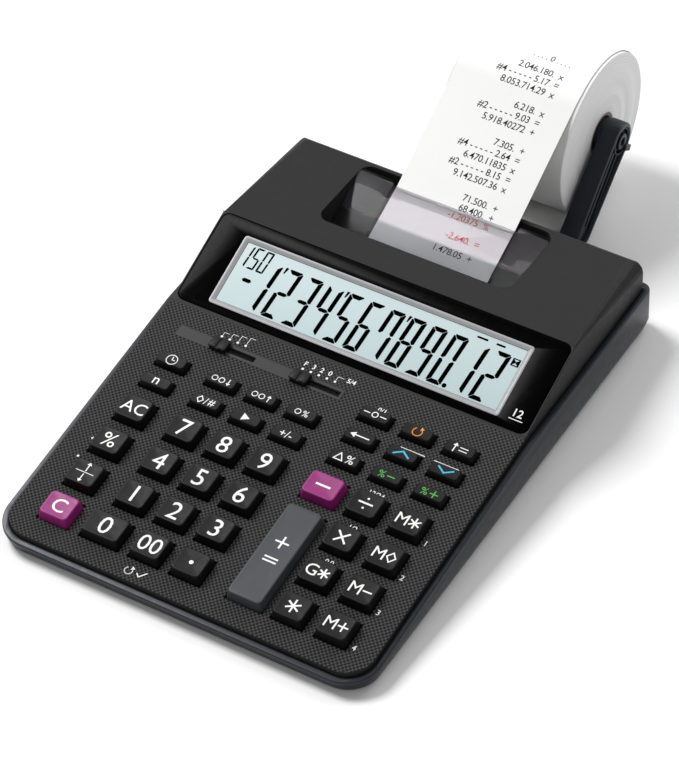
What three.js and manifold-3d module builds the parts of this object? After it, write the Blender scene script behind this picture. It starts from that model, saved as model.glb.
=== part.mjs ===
// Desk printing calculator: wedge case with a keypad deck, a tilted display,
// a printer under a clear cutter panel, and a paper roll carried by two arms at the rear.
// Units are millimetres, +X right, +Y towards the rear, +Z up.
import * as THREE from 'three';
import { mergeVertices } from 'three/addons/utils/BufferGeometryUtils.js';
import Module from 'manifold-3d';

const wasm = await Module();
wasm.setup();

// ---- driving dimensions -------------------------------------------------
const CASE_WIDTH = 195;
const CASE_DEPTH = 268;
const FOOT_HEIGHT = 1.2;
const FOOT_RADIUS = 6;
const FOOT_INSET = 16;                // foot centre from the sides and ends
const CORNER_RADIUS = 5;
const FRONT_RADIUS = 17;              // the two corners nearest the user are rounder
const GAP = 0.3;                      // running or resting gap between neighbours

// Lower case: a tray whose rim rises with the deck, then runs level to the rear.
const RIM_FRONT_Z = 6.1;
const RIM_REAR_Z = 23.1;
const RIM_WIDTH = 3.4;
const FLOOR_THICKNESS = 1.8;
const FOOT_CHAMFER = 1.5;

// Upper case: keypad deck, display slope and printer hump.
const DECK_RISE = 2.7;                // deck surface above the rim
const DISPLAY_Y0 = 151.7;
const DISPLAY_Y1 = 197.4;
const HUMP_FRONT_Z = 42.7;
const HUMP_REAR_Z = 39.6;
const HUMP_REAR_Y = 262.7;
const HUMP_FILLET = [1.1, 9];         // radius of the hump's side edges at the display and at the rear
const SHELL = 1.8;
const SKIRT = 3;                      // how far the upper case drops inside the tray

// Keys: the block of large keys is a regular grid, the small keys sit behind it.
const COLUMN_A_X = -72.2;
const COLUMN_B_X = -45.3;
const COLUMN_PITCH = 21.46;
const COLUMN_E_X = 28.2;
const COLUMN_F_X = 50.2;
const COLUMN_G_X = 72.2;
const FIRST_ROW_Y = 22.1;
const ROW_PITCH = 20.73;
const SMALL_ROWS_Y = [102.6, 116.3, 130];
const KEY_TRAVEL = 1.8;
const KEY_FLANGE = 0.8;
const KEY_LIP = 0.8;                  // how far a key's flange reaches under the deck
const KEY_HOLE_GAP = 0.45;
const STEM_OVERLAP = 0.02;            // joins a key's cap to its stem
const KEY_SIZES = {                   // width, depth, height above the deck
  large: [16.2, 14.8, 4.7],
  zero: [20.6, 14.8, 4.7],
  minus: [18.2, 14.4, 4.7],
  tall: [18.8, 56, 4.7],
  small: [16.2, 7.6, 3.4],
};

// Slide switches: knob position, travel and the row that they share.
const SWITCH_Y = 135;
const SWITCHES = [
  { name: 'mode_switch', x: -58, travel: 13 },
  { name: 'decimal_switch', x: -14.5, travel: 15 },
];
const KNOB = [9, 6.6, 3];             // width, depth, height above the deck

// Display
const BEZEL_WIDTH = 186;
const BEZEL_THICKNESS = 1.6;
const BEZEL_RADIUS = 4;
const WINDOW = [154, 37];
const LCD_THICKNESS = 2.6;
const LCD_SINK = 0.7;

// Printer and cutter panel
const PRINTER_X = -2.5;
const RECESS_HALF = 51.5;
const RECESS_Y0 = 215.5;
const RECESS_Y1 = 261;
const RECESS_RADIUS = 6;
const RECESS_WALL = 1.6;
const CUTTER_REAR = [256, 41.2];      // y, z of the panel's top rear edge
const CUTTER_FRONT = [217.5, 25.3];   // y, z of the panel's top front edge
const CUTTER_THICKNESS = 1.2;
const FEED_ROLLER_RADIUS = 4.5;
const INK_ROLLER_RADIUS = 5;
const SHAFT_RADIUS = 1.5;
const SHAFT_BORE = 1.8;
const PRINTER_HALF = RECESS_HALF - 6;
const PRINTER_PLATE = 1.6;
const PRINTER_PLATE_OUTLINE = [        // y, z of a side plate
  [207, 4], [258, 4], [258, 36], [252, 36], [230, 27.1], [222, 21.5], [207, 21.5]];
const MOTOR = { radius: 7, length: 24, y: 222, z: 13 };

// Paper
const TAPE_X = -1.1;
const TAPE_WIDTH = 64;
const TAPE_THICKNESS = 0.3;
const ROLL_X = 2.2;
const ROLL_WIDTH = 68;
const ROLL_RADIUS = 41;
const ROLL_BORE = 9.5;
const ROLL_Y = 331;
const ROLL_Z = 42.5;

// Paper arms
const ARM_GAP = 2.2;                  // between the roll's end and the arm
const ARM_THICKNESS = 9;
const ARM_WIDTH = 19;
const ARM_FLARE = 1.8;                  // how much thicker the right arm is at its foot
const ARM_PIVOT_Y = 279;
const ARM_HUB_RADIUS = 8.6;
const ARM_HUB_LENGTH = 6.5;
const ARM_PIN_RADIUS = 2;

const ARM_LUGS = [[1, 4], [14, 17]];   // bottom and top of the two lugs that hold an arm's pin

// Battery bay, and the openings in the rear wall
const BAY = { x: 104, y0: 156, y1: 192, z: 17.5 };
const BAY_WALL = 1.6;
const PAPER_ENTRY = { z0: 11, z1: 19 };
const INLET = { x0: 62, x1: 72, z0: 6, z1: 16 };

// Rubber mat and circuit board under the keys: half width, front and rear along the deck
const MAT = { half: 88, y0: 12, y1: 146, thickness: 1.2 };
const BOARD = { half: 90, y0: 12, y1: 148, thickness: 1.2 };

// ---- derived values -----------------------------------------------------
const HALF_WIDTH = CASE_WIDTH / 2;
const OVERALL_DEPTH = ROLL_Y + ROLL_RADIUS;
const RIM_SLOPE = (RIM_REAR_Z - RIM_FRONT_Z) / DISPLAY_Y0;
const DECK_ANGLE = Math.atan(RIM_SLOPE);
const rimZ = (y) => RIM_FRONT_Z + RIM_SLOPE * Math.min(y, DISPLAY_Y0);
const deckZ = (y) => rimZ(y) + DECK_RISE;
const DISPLAY_Z0 = deckZ(DISPLAY_Y0);
const DISPLAY_ANGLE = Math.atan2(HUMP_FRONT_Z - DISPLAY_Z0, DISPLAY_Y1 - DISPLAY_Y0);
const DISPLAY_LENGTH = Math.hypot(HUMP_FRONT_Z - DISPLAY_Z0, DISPLAY_Y1 - DISPLAY_Y0);
const CUTTER_ANGLE = Math.atan2(CUTTER_REAR[1] - CUTTER_FRONT[1], CUTTER_REAR[0] - CUTTER_FRONT[0]);
const CUTTER_LENGTH = Math.hypot(CUTTER_REAR[1] - CUTTER_FRONT[1], CUTTER_REAR[0] - CUTTER_FRONT[0]);
const HUMP_SLOPE = (HUMP_REAR_Z - HUMP_FRONT_Z) / (HUMP_REAR_Y - DISPLAY_Y1);
const humpZ = (y) => HUMP_FRONT_Z + HUMP_SLOPE * (y - DISPLAY_Y1);

// ---- solids -------------------------------------------------------------
function toSolid(geometry) {
  const bare = geometry.clone();
  bare.deleteAttribute('normal');
  bare.deleteAttribute('uv');
  const merged = mergeVertices(bare, 1e-4);
  return new wasm.Manifold(new wasm.Mesh({
    numProp: 3,
    vertProperties: new Float32Array(merged.attributes.position.array),
    triVerts: new Uint32Array(merged.index.array),
  }));
}

function toGeometry(solid) {
  const mesh = solid.getMesh();
  const geometry = new THREE.BufferGeometry();
  geometry.setAttribute('position', new THREE.BufferAttribute(mesh.vertProperties, 3));
  geometry.setIndex(new THREE.BufferAttribute(mesh.triVerts, 1));
  geometry.computeVertexNormals();
  return geometry;
}

function box(x0, x1, y0, y1, z0, z1) {
  const geometry = new THREE.BoxGeometry(x1 - x0, y1 - y0, z1 - z0);
  geometry.translate((x0 + x1) / 2, (y0 + y1) / 2, (z0 + z1) / 2);
  return geometry;
}

function rectangle(x0, x1, y0, y1, radius, frontRadius = radius) {
  const shape = new THREE.Shape();
  shape.moveTo(x0 + frontRadius, y0);
  shape.lineTo(x1 - frontRadius, y0);
  shape.absarc(x1 - frontRadius, y0 + frontRadius, frontRadius, -Math.PI / 2, 0);
  shape.lineTo(x1, y1 - radius);
  shape.absarc(x1 - radius, y1 - radius, radius, 0, Math.PI / 2);
  shape.lineTo(x0 + radius, y1);
  shape.absarc(x0 + radius, y1 - radius, radius, Math.PI / 2, Math.PI);
  shape.lineTo(x0, y0 + frontRadius);
  shape.absarc(x0 + frontRadius, y0 + frontRadius, frontRadius, Math.PI, 1.5 * Math.PI);
  return shape;
}

function upright(shape, z0, z1, curveSegments = 5) {
  const geometry = new THREE.ExtrudeGeometry(shape, { depth: z1 - z0, bevelEnabled: false, curveSegments });
  geometry.translate(0, 0, z0);
  return geometry;
}

// An outline given as [y, z] points, extruded from x0 to x1.
function sideways(outline, x0, x1) {
  const shape = Array.isArray(outline)
    ? new THREE.Shape(outline.map(([y, z]) => new THREE.Vector2(y, z)))
    : outline;
  const options = { depth: x1 - x0, bevelEnabled: false, curveSegments: 8 };
  const geometry = new THREE.ExtrudeGeometry(shape, options);
  const alongX = new THREE.Matrix4().makeBasis(
    new THREE.Vector3(0, 1, 0), new THREE.Vector3(0, 0, 1), new THREE.Vector3(1, 0, 0));
  geometry.applyMatrix4(alongX);
  geometry.translate(x0, 0, 0);
  return geometry;
}

function cylinderX(radius, x0, x1, y, z, segments = 32) {
  const geometry = new THREE.CylinderGeometry(radius, radius, x1 - x0, segments);
  geometry.rotateZ(Math.PI / 2);
  geometry.translate((x0 + x1) / 2, y, z);
  return geometry;
}

function cylinderZ(radius, x, y, z0, z1, segments = 20) {
  const geometry = new THREE.CylinderGeometry(radius, radius, z1 - z0, segments);
  geometry.rotateX(Math.PI / 2);
  geometry.translate(x, y, (z0 + z1) / 2);
  return geometry;
}

// A block that narrows towards its top, standing on z = 0.
function taperedBlock(width, depth, height, inset) {
  const geometry = box(-width / 2, width / 2, -depth / 2, depth / 2, 0, height);
  const position = geometry.attributes.position;
  for (let i = 0; i < position.count; i += 1) {
    if (position.getZ(i) > height / 2) {
      position.setX(i, position.getX(i) * (1 - 2 * inset / width));
      position.setY(i, position.getY(i) * (1 - 2 * inset / depth));
    }
  }
  return geometry;
}

// A solid between two outlines of [x, z] points, anticlockwise seen from the front, at y0 and y1.
function loft(front, rear, y0, y1) {
  const count = front.length;
  const positions = [
    ...front.flatMap(([x, z]) => [x, y0, z]),
    ...rear.flatMap(([x, z]) => [x, y1, z]),
  ];
  const index = [];
  const caps = THREE.ShapeUtils.triangulateShape(front.map(([x, z]) => new THREE.Vector2(x, z)), []);
  caps.forEach(([a, b, c]) => index.push(a, b, c, count + a, count + c, count + b));
  for (let i = 0; i < count; i += 1) {
    const j = (i + 1) % count;
    index.push(j, i, count + i, j, count + i, count + j);
  }
  const geometry = new THREE.BufferGeometry();
  geometry.setAttribute('position', new THREE.Float32BufferAttribute(positions, 3));
  geometry.setIndex(index);
  return geometry;
}

function inPlane(geometry, angle, y, z) {
  const placed = geometry.clone();
  placed.rotateX(angle);
  placed.translate(0, y, z);
  return placed;
}

const onDeck = (geometry) => inPlane(geometry, DECK_ANGLE, 0, deckZ(0));
const onDisplay = (geometry) => inPlane(geometry, DISPLAY_ANGLE, DISPLAY_Y0, DISPLAY_Z0);
const onCutter = (geometry) => inPlane(geometry, CUTTER_ANGLE, CUTTER_FRONT[0], CUTTER_FRONT[1]);

// ---- materials ----------------------------------------------------------
const paint = (color, roughness, metalness = 0) =>
  new THREE.MeshStandardMaterial({ color, roughness, metalness });
const MATERIALS = {
  navy: paint(0x1d2029, 0.45),
  charcoal: paint(0x2e2f31, 0.5),
  gloss: paint(0x050505, 0.12),
  glass: paint(0xcfe2e4, 0.15),
  blackKey: paint(0x141416, 0.35),
  magentaKey: paint(0x97276b, 0.35),
  greyKey: paint(0x4c4f55, 0.4),
  board: paint(0x1f5a38, 0.6),
  mat: paint(0x8a8d90, 0.8),
  frame: paint(0x3a3b3d, 0.6),
  ink: paint(0x2b2140, 0.7),
  rubber: paint(0x202020, 0.8),
  clear: new THREE.MeshStandardMaterial({ color: 0x9a9ea3, roughness: 0.1, transparent: true, opacity: 0.4 }),
  paper: paint(0xf6f6f4, 0.9),
  arm: paint(0x2a2c35, 0.45),
};

// ---- key layout ---------------------------------------------------------
const columnX = (column) => COLUMN_B_X + COLUMN_PITCH * column;
const rowY = (row) => FIRST_ROW_Y + ROW_PITCH * row;
const [SMALL_1, SMALL_2, SMALL_3] = SMALL_ROWS_Y;
const key = (name, x, y, size = 'large', material = 'blackKey') => ({ name, x, y, size, material });
const KEYS = [
  key('key_clear', COLUMN_A_X, rowY(0), 'large', 'magentaKey'),
  key('key_mark_up', COLUMN_A_X, rowY(1)),
  key('key_percent', COLUMN_A_X, rowY(2)),
  key('key_clear_all', COLUMN_A_X, rowY(3)),
  key('key_item_count', COLUMN_A_X, SMALL_1, 'small'),
  key('key_time', COLUMN_A_X, SMALL_2, 'small'),
  key('key_zero', columnX(0) - 2.2, rowY(0), 'zero'),
  key('key_double_zero', columnX(1), rowY(0)),
  key('key_point', columnX(2), rowY(0)),
  ...['one', 'two', 'three', 'four', 'five', 'six', 'seven', 'eight', 'nine'].map(
    (digit, i) => key(`key_${digit}`, columnX(i % 3), rowY(1 + Math.floor(i / 3)))),
  ...['key_date', 'key_step', 'key_sign'].map((name, i) => key(name, columnX(i), SMALL_1, 'small')),
  ...['key_cost', 'key_sell', 'key_margin'].map((name, i) => key(name, columnX(i), SMALL_2, 'small')),
  key('key_plus_equals', COLUMN_E_X, (rowY(0) + rowY(2)) / 2 + 0.1, 'tall', 'greyKey'),
  key('key_minus', COLUMN_E_X, rowY(3), 'minus', 'magentaKey'),
  key('key_delta_percent', COLUMN_E_X, SMALL_1, 'small'),
  key('key_correct', COLUMN_E_X, SMALL_2, 'small'),
  key('key_print', COLUMN_E_X, SMALL_3, 'small'),
  ...['key_total', 'key_grand_total', 'key_multiply', 'key_divide'].map(
    (name, row) => key(name, COLUMN_F_X, rowY(row))),
  ...['key_memory_plus', 'key_memory_minus', 'key_memory_subtotal', 'key_memory_total'].map(
    (name, row) => key(name, COLUMN_G_X, rowY(row))),
  ...['key_tax_minus', 'key_check_up', 'key_reprint'].map(
    (name, row) => key(name, COLUMN_F_X, SMALL_ROWS_Y[row], 'small')),
  ...['key_tax_plus', 'key_check_down', 'key_feed'].map(
    (name, row) => key(name, COLUMN_G_X, SMALL_ROWS_Y[row], 'small')),
];
const alongDeck = (y) => y / Math.cos(DECK_ANGLE);

// ---- sub-parts ----------------------------------------------------------
function keyGeometry({ size, x, y }) {
  const [width, depth, height] = KEY_SIZES[size];
  const inset = Math.min(1.4, depth * 0.13);
  const centred = (grow, z0, z1) =>
    toSolid(box(-width / 2 - grow, width / 2 + grow, -depth / 2 - grow, depth / 2 + grow, z0, z1));
  const foot = -SHELL - GAP - KEY_FLANGE;
  const solid = toSolid(taperedBlock(width, depth, height, inset))
    .add(centred(0, foot, STEM_OVERLAP))
    .add(centred(KEY_HOLE_GAP + KEY_LIP, foot, -SHELL - GAP));
  const geometry = toGeometry(solid);
  geometry.translate(x, alongDeck(y), 0);
  return onDeck(geometry);
}

function keyHole({ size, x, y }) {
  const [width, depth] = KEY_SIZES[size];
  const halfX = width / 2 + KEY_HOLE_GAP;
  const halfY = depth / 2 + KEY_HOLE_GAP;
  const hole = box(x - halfX, x + halfX, -halfY, halfY, -SHELL - 2, 2);
  hole.translate(0, alongDeck(y), 0);
  return onDeck(hole);
}

function switchSlot({ x, travel }) {
  const slot = box(x - KNOB[0] / 2 - 1, x + KNOB[0] / 2 + travel + 1, -1.4, 1.4, -SHELL - 2, 2);
  slot.translate(0, alongDeck(SWITCH_Y), 0);
  return onDeck(slot);
}

function switchKnob({ x }) {
  const [length, depth, height] = KNOB;
  const grip = toSolid(box(x - length / 2, x + length / 2, -depth / 2, depth / 2, GAP, height));
  const neck = toSolid(box(x - 2, x + 2, -1, 1, -SHELL - GAP - 1, 0.6));
  const shoe = toSolid(box(x - 3.4, x + 3.4, -depth / 2, depth / 2, -SHELL - GAP - 1, -SHELL - GAP));
  const geometry = toGeometry(grip.add(neck).add(shoe));
  geometry.translate(0, alongDeck(SWITCH_Y), 0);
  return onDeck(geometry);
}

// The case outline seen from above, shrunk by an inset, as a tall prism.
function planPrism(inset, z0, z1) {
  const outline = rectangle(-HALF_WIDTH + inset, HALF_WIDTH - inset, inset, CASE_DEPTH - inset,
    Math.max(CORNER_RADIUS - inset, 1.2), FRONT_RADIUS - inset);
  return upright(outline, z0, z1, 8);
}

// What is cut away above one rounded side edge of the hump.
function humpEdgeCutter(side) {
  const edge = HALF_WIDTH - RIM_WIDTH;
  const steps = 6;
  const outline = (radius, top) => {
    const arc = Array.from({ length: steps + 1 }, (_, i) => {
      const angle = 0.5 * Math.PI * i / steps;
      return [edge - radius + radius * Math.cos(angle), top - radius + radius * Math.sin(angle)];
    });
    const points = [[edge - radius, top + 10], [edge + 3, top + 10], [edge + 3, top - radius], ...arc];
    return side > 0 ? points.reverse() : points.map(([x, z]) => [-x, z]);
  };
  const y1 = CASE_DEPTH + 3;
  const front = outline(HUMP_FILLET[0], HUMP_FRONT_Z);
  const rear = outline(HUMP_FILLET[1], humpZ(y1));
  return toSolid(loft(front, rear, DISPLAY_Y1, y1));
}

function chamferedPlanPrism(z1) {
  const inset = FOOT_CHAMFER;
  const geometry = new THREE.ExtrudeGeometry(
    rectangle(-HALF_WIDTH + inset, HALF_WIDTH - inset, inset, CASE_DEPTH - inset, CORNER_RADIUS - inset,
      FRONT_RADIUS - inset),
    {
      depth: z1, bevelEnabled: true, bevelThickness: 5, bevelSize: inset, bevelSegments: 1,
      curveSegments: 8,
    });
  geometry.translate(0, 0, 5);
  return geometry;
}

function armSocket(side) {
  const x = ROLL_X + side * (ROLL_WIDTH / 2 + ARM_GAP + ARM_THICKNESS / 2);
  const half = ARM_THICKNESS / 2;
  const [bottom, top] = ARM_LUGS.map(([z0, z1]) =>
    toSolid(box(x - half, x + half, CASE_DEPTH - 1, ARM_PIVOT_Y + 5, z0, z1)));
  const pin = toSolid(cylinderZ(ARM_PIN_RADIUS, x, ARM_PIVOT_Y, ARM_LUGS[0][0] + 1, ARM_LUGS[1][1] - 1));
  return bottom.add(top).add(pin);
}

function lowerCase() {
  const profile = [[-1, 0], [CASE_DEPTH + 1, 0], [CASE_DEPTH + 1, RIM_REAR_Z], [DISPLAY_Y0, RIM_REAR_Z],
    [-1, rimZ(-1)]];
  let solid = toSolid(chamferedPlanPrism(RIM_REAR_Z + 10))
    .intersect(toSolid(sideways(profile, -HALF_WIDTH - 1, HALF_WIDTH + 1)));
  solid = solid.subtract(toSolid(planPrism(RIM_WIDTH - GAP, FLOOR_THICKNESS, RIM_REAR_Z + 20)));
  const bay = toSolid(box(-BAY.x / 2 - BAY_WALL, BAY.x / 2 + BAY_WALL, BAY.y0 - BAY_WALL, BAY.y1 + BAY_WALL,
    0, BAY.z + BAY_WALL));
  const hollow = toSolid(box(-BAY.x / 2, BAY.x / 2, BAY.y0, BAY.y1, -1, BAY.z));
  solid = solid.add(bay).subtract(hollow);
  for (const side of [-1, 1]) {
    for (const y of [FOOT_INSET, CASE_DEPTH - FOOT_INSET]) {
      const x = side * (HALF_WIDTH - FOOT_INSET);
      solid = solid.add(toSolid(cylinderZ(FOOT_RADIUS, x, y, -FOOT_HEIGHT, 0.6)));
    }
    solid = solid.add(armSocket(side));
  }
  // Paper entry at the rear, and the DC inlet beside it.
  const half = TAPE_WIDTH / 2 + 2;
  const rearHole = (x0, x1, { z0, z1 }) => toSolid(box(x0, x1, CASE_DEPTH - 5, CASE_DEPTH + 2, z0, z1));
  solid = solid.subtract(rearHole(TAPE_X - half, TAPE_X + half, PAPER_ENTRY));
  solid = solid.subtract(rearHole(INLET.x0, INLET.x1, INLET));
  return toGeometry(solid);
}

// The printer recess seen from above, grown or shrunk, as a tall prism.
function recessPrism(grow, z0) {
  return toSolid(upright(rectangle(PRINTER_X - RECESS_HALF - grow, PRINTER_X + RECESS_HALF + grow,
    RECESS_Y0 - grow, RECESS_Y1 + grow, RECESS_RADIUS), z0, 60));
}

function upperCase() {
  const front = RIM_WIDTH;
  const rear = CASE_DEPTH - RIM_WIDTH;
  const outline = (drop, bottom) => [
    [front - 2, rimZ(front) - bottom], [DISPLAY_Y0, RIM_REAR_Z - bottom], [rear + 2, RIM_REAR_Z - bottom],
    [rear + 2, HUMP_REAR_Z - 3 - drop], [HUMP_REAR_Y, HUMP_REAR_Z - drop], [DISPLAY_Y1, HUMP_FRONT_Z - drop],
    [DISPLAY_Y0, DISPLAY_Z0 - drop], [front - 2, deckZ(front - 2) - drop]];
  let outer = toSolid(planPrism(front, -5, 60))
    .intersect(toSolid(sideways(outline(0, SKIRT), -HALF_WIDTH, HALF_WIDTH)));
  for (const side of [-1, 1]) {
    outer = outer.subtract(humpEdgeCutter(side));
  }
  const inner = toSolid(planPrism(front + SHELL, -20, 60))
    .intersect(toSolid(sideways(outline(SHELL, SKIRT + 5), -HALF_WIDTH, HALF_WIDTH)));
  let solid = outer.subtract(inner);

  // Display seat and the opening behind the glass.
  const seat = upright(rectangle(-BEZEL_WIDTH / 2 - GAP, BEZEL_WIDTH / 2 + GAP, -GAP, DISPLAY_LENGTH + GAP,
    BEZEL_RADIUS + GAP), -BEZEL_THICKNESS - GAP, 5);
  const ledge = box(-BEZEL_WIDTH / 2 - 2, BEZEL_WIDTH / 2 + 2, -2, DISPLAY_LENGTH + 2,
    -BEZEL_THICKNESS - GAP - SHELL, -BEZEL_THICKNESS);
  const glassHole = box(-WINDOW[0] / 2 - 1, WINDOW[0] / 2 + 1, 1.8, DISPLAY_LENGTH - 5, -12, 5);
  solid = solid.add(toSolid(onDisplay(ledge)).intersect(outer));
  solid = solid.subtract(toSolid(onDisplay(seat))).subtract(toSolid(onDisplay(glassHole)));

  // Recess over the printer, with walls that reach down to the cutter panel.
  solid = solid.add(recessPrism(RECESS_WALL, 22).intersect(outer)).subtract(recessPrism(0, -10));

  KEYS.forEach((item) => {
    solid = solid.subtract(toSolid(keyHole(item)));
  });
  SWITCHES.forEach((item) => {
    solid = solid.subtract(toSolid(switchSlot(item)));
  });
  return toGeometry(solid);
}

function displayBezel() {
  const outline = rectangle(-BEZEL_WIDTH / 2, BEZEL_WIDTH / 2, 0, DISPLAY_LENGTH, BEZEL_RADIUS);
  const plate = toSolid(upright(outline, -BEZEL_THICKNESS, 0));
  const window = toSolid(box(-WINDOW[0] / 2, WINDOW[0] / 2, 4, 4 + WINDOW[1], -5, 5));
  return onDisplay(toGeometry(plate.subtract(window)));
}

function lcdPanel() {
  const half = WINDOW[0] / 2 - GAP;
  return onDisplay(box(-half, half, 4 + GAP, 4 + WINDOW[1] - GAP, -LCD_SINK - LCD_THICKNESS, -LCD_SINK));
}

// A flat sheet under the keys, with its top at a height measured from the deck.
function underDeck({ half, y0, y1, thickness }, top) {
  return onDeck(box(-half, half, y0, y1, top - thickness, top));
}

function cutterPanel() {
  const half = RECESS_HALF - GAP;
  const panel = toSolid(box(PRINTER_X - half, PRINTER_X + half, 0, CUTTER_LENGTH, -CUTTER_THICKNESS, 0));
  const tear = toSolid(box(TAPE_X - TAPE_WIDTH / 2 - 2, TAPE_X + TAPE_WIDTH / 2 + 2, CUTTER_LENGTH - 2.6,
    CUTTER_LENGTH + 5, -5, 5));
  return toGeometry(toSolid(onCutter(toGeometry(panel.subtract(tear)))).intersect(recessPrism(-GAP, -10)));
}

// Paper path as [y, z] points: roll, rear entry, feed roller, chute, tear edge, over the roll.
function tapePath() {
  const reach = ROLL_RADIUS + 0.5;
  const arc = (cy, cz, radius, from, to, steps) => Array.from({ length: steps + 1 }, (_, i) => {
    const angle = from + (to - from) * i / steps;
    return [cy + radius * Math.cos(angle), cz + radius * Math.sin(angle)];
  });
  const offset = CUTTER_THICKNESS + GAP + TAPE_THICKNESS / 2;
  const under = ([y, z]) => [y + offset * Math.sin(CUTTER_ANGLE), z - offset * Math.cos(CUTTER_ANGLE)];
  const [tearY, tearZ] = under([CUTTER_REAR[0] - 1.5, CUTTER_REAR[1] - 1.5 * Math.tan(CUTTER_ANGLE)]);
  const distance = Math.hypot(ROLL_Y - tearY, ROLL_Z - tearZ);
  const lean = Math.atan2(ROLL_Z - tearZ, ROLL_Y - tearY) + Math.asin(reach / distance);
  const feedRadius = FEED_ROLLER_RADIUS + 0.4;
  const feed = feedRollerCentre();
  const entry = [CASE_DEPTH - 1.5, 15];
  const entryDistance = Math.hypot(ROLL_Y - entry[0], ROLL_Z - entry[1]);
  const entryLean = Math.atan2(ROLL_Z - entry[1], ROLL_Y - entry[0]) - Math.asin(reach / entryDistance);
  return [
    ...arc(ROLL_Y, ROLL_Z, reach, entryLean - Math.PI / 2 + 0.5, entryLean - Math.PI / 2, 4),
    entry,
    ...arc(feed[0], feed[1], feedRadius, -Math.PI / 2, -Math.PI - Math.PI / 2 + CUTTER_ANGLE, 8),
    [tearY, tearZ],
    ...arc(ROLL_Y, ROLL_Z, reach, lean + Math.PI / 2, 0.35, 12),
  ];
}

function feedRollerCentre() {
  const drop = CUTTER_THICKNESS + GAP + TAPE_THICKNESS / 2 + FEED_ROLLER_RADIUS + 0.4;
  const along = 3;
  return [
    CUTTER_FRONT[0] + along * Math.cos(CUTTER_ANGLE) + drop * Math.sin(CUTTER_ANGLE),
    CUTTER_FRONT[1] + along * Math.sin(CUTTER_ANGLE) - drop * Math.cos(CUTTER_ANGLE),
  ];
}

function paperTape() {
  const points = tapePath().map(([y, z]) => new THREE.Vector2(y, z));
  const left = [];
  const right = [];
  points.forEach((point, i) => {
    const before = points[Math.max(i - 1, 0)];
    const after = points[Math.min(i + 1, points.length - 1)];
    const direction = after.clone().sub(before).normalize();
    const normal = new THREE.Vector2(-direction.y, direction.x).multiplyScalar(TAPE_THICKNESS / 2);
    left.push(point.clone().add(normal));
    right.push(point.clone().sub(normal));
  });
  const outline = new THREE.Shape([...right, ...left.reverse()]);
  return sideways(outline, TAPE_X - TAPE_WIDTH / 2, TAPE_X + TAPE_WIDTH / 2);
}

function paperRoll() {
  const x0 = ROLL_X - ROLL_WIDTH / 2;
  const x1 = ROLL_X + ROLL_WIDTH / 2;
  const profile = [[ROLL_BORE, x0], [ROLL_RADIUS, x0], [ROLL_RADIUS, x1], [ROLL_BORE, x1], [ROLL_BORE, x0]]
    .map(([r, x]) => new THREE.Vector2(r, x));
  const geometry = new THREE.LatheGeometry(profile, 48);
  geometry.rotateZ(-Math.PI / 2);
  geometry.translate(0, ROLL_Y, ROLL_Z);
  return geometry;
}

// Moves an arm's inner face inwards, more towards its foot.
function flareFoot(blade, inner) {
  const position = blade.attributes.position;
  for (let i = 0; i < position.count; i += 1) {
    if (Math.abs(position.getX(i) - inner) < 0.01) {
      position.setX(i, inner - ARM_FLARE * Math.max(0, 1 - position.getZ(i) / ROLL_Z));
    }
  }
}

// One arm: a foot on the vertical pin, a raked blade and a hub that enters the roll's bore.
function paperArm(side) {
  const inner = ROLL_X + side * (ROLL_WIDTH / 2 + ARM_GAP);
  const outer = inner + side * ARM_THICKNESS;
  const [x0, x1] = [Math.min(inner, outer), Math.max(inner, outer)];
  const x = (x0 + x1) / 2;
  const half = ARM_WIDTH / 2;
  const blade = sideways([
    [ARM_PIVOT_Y - 4.5, 4 + GAP], [ARM_PIVOT_Y + 19, 4 + GAP], [ROLL_Y + half * 0.7, ROLL_Z - half * 0.7],
    [ROLL_Y - half * 0.7, ROLL_Z + half * 0.7], [ARM_PIVOT_Y + 6.6, 14 - GAP], [ARM_PIVOT_Y - 4.5, 14 - GAP],
  ], x0, x1);
  if (side > 0) flareFoot(blade, inner);
  const head = cylinderX(half, x0, x1, ROLL_Y, ROLL_Z, 24);
  const hubEnd = inner - side * ARM_HUB_LENGTH;
  const hub = cylinderX(ARM_HUB_RADIUS, Math.min(inner, hubEnd) - (side < 0 ? 1 : 0),
    Math.max(inner, hubEnd) + (side > 0 ? 1 : 0), ROLL_Y, ROLL_Z, 24);
  const bore = cylinderZ(ARM_PIN_RADIUS + GAP, x, ARM_PIVOT_Y, 0, 20);
  return toGeometry(toSolid(blade).add(toSolid(head)).add(toSolid(hub)).subtract(toSolid(bore)));
}

function printerFrame() {
  const [left, right] = [PRINTER_X - PRINTER_HALF, PRINTER_X + PRINTER_HALF];
  const [front, rear] = [PRINTER_PLATE_OUTLINE[0][0], PRINTER_PLATE_OUTLINE[1][0]];
  const plate = (x0) => toSolid(sideways(PRINTER_PLATE_OUTLINE, x0, x0 + PRINTER_PLATE));
  const base = toSolid(box(left, right, front, rear, 3, 5));
  const chute = toSolid(onCutter(box(left, right, 14, CUTTER_LENGTH - 4, -3.8, -2.6)));
  const motor = toSolid(cylinderX(MOTOR.radius, right - 1, right + MOTOR.length, MOTOR.y, MOTOR.z, 20));
  let solid = plate(left).add(plate(right - PRINTER_PLATE)).add(base).add(chute).add(motor);
  for (const [y, z] of [feedRollerCentre(), inkRollerCentre()]) {
    solid = solid.subtract(toSolid(cylinderX(SHAFT_BORE, left - 1, right + 1, y, z, 16)));
  }
  return toGeometry(solid);
}

function inkRollerCentre() {
  const [y, z] = feedRollerCentre();
  return [y + 17, z + 1.5];
}

function roller(radius, [y, z]) {
  const across = (size, inset, segments) => toSolid(
    cylinderX(size, PRINTER_X - PRINTER_HALF + inset, PRINTER_X + PRINTER_HALF - inset, y, z, segments));
  const drum = across(radius, 3.5, 24);
  const shaft = across(SHAFT_RADIUS, 0.2, 16);
  return toGeometry(drum.add(shaft));
}

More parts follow.
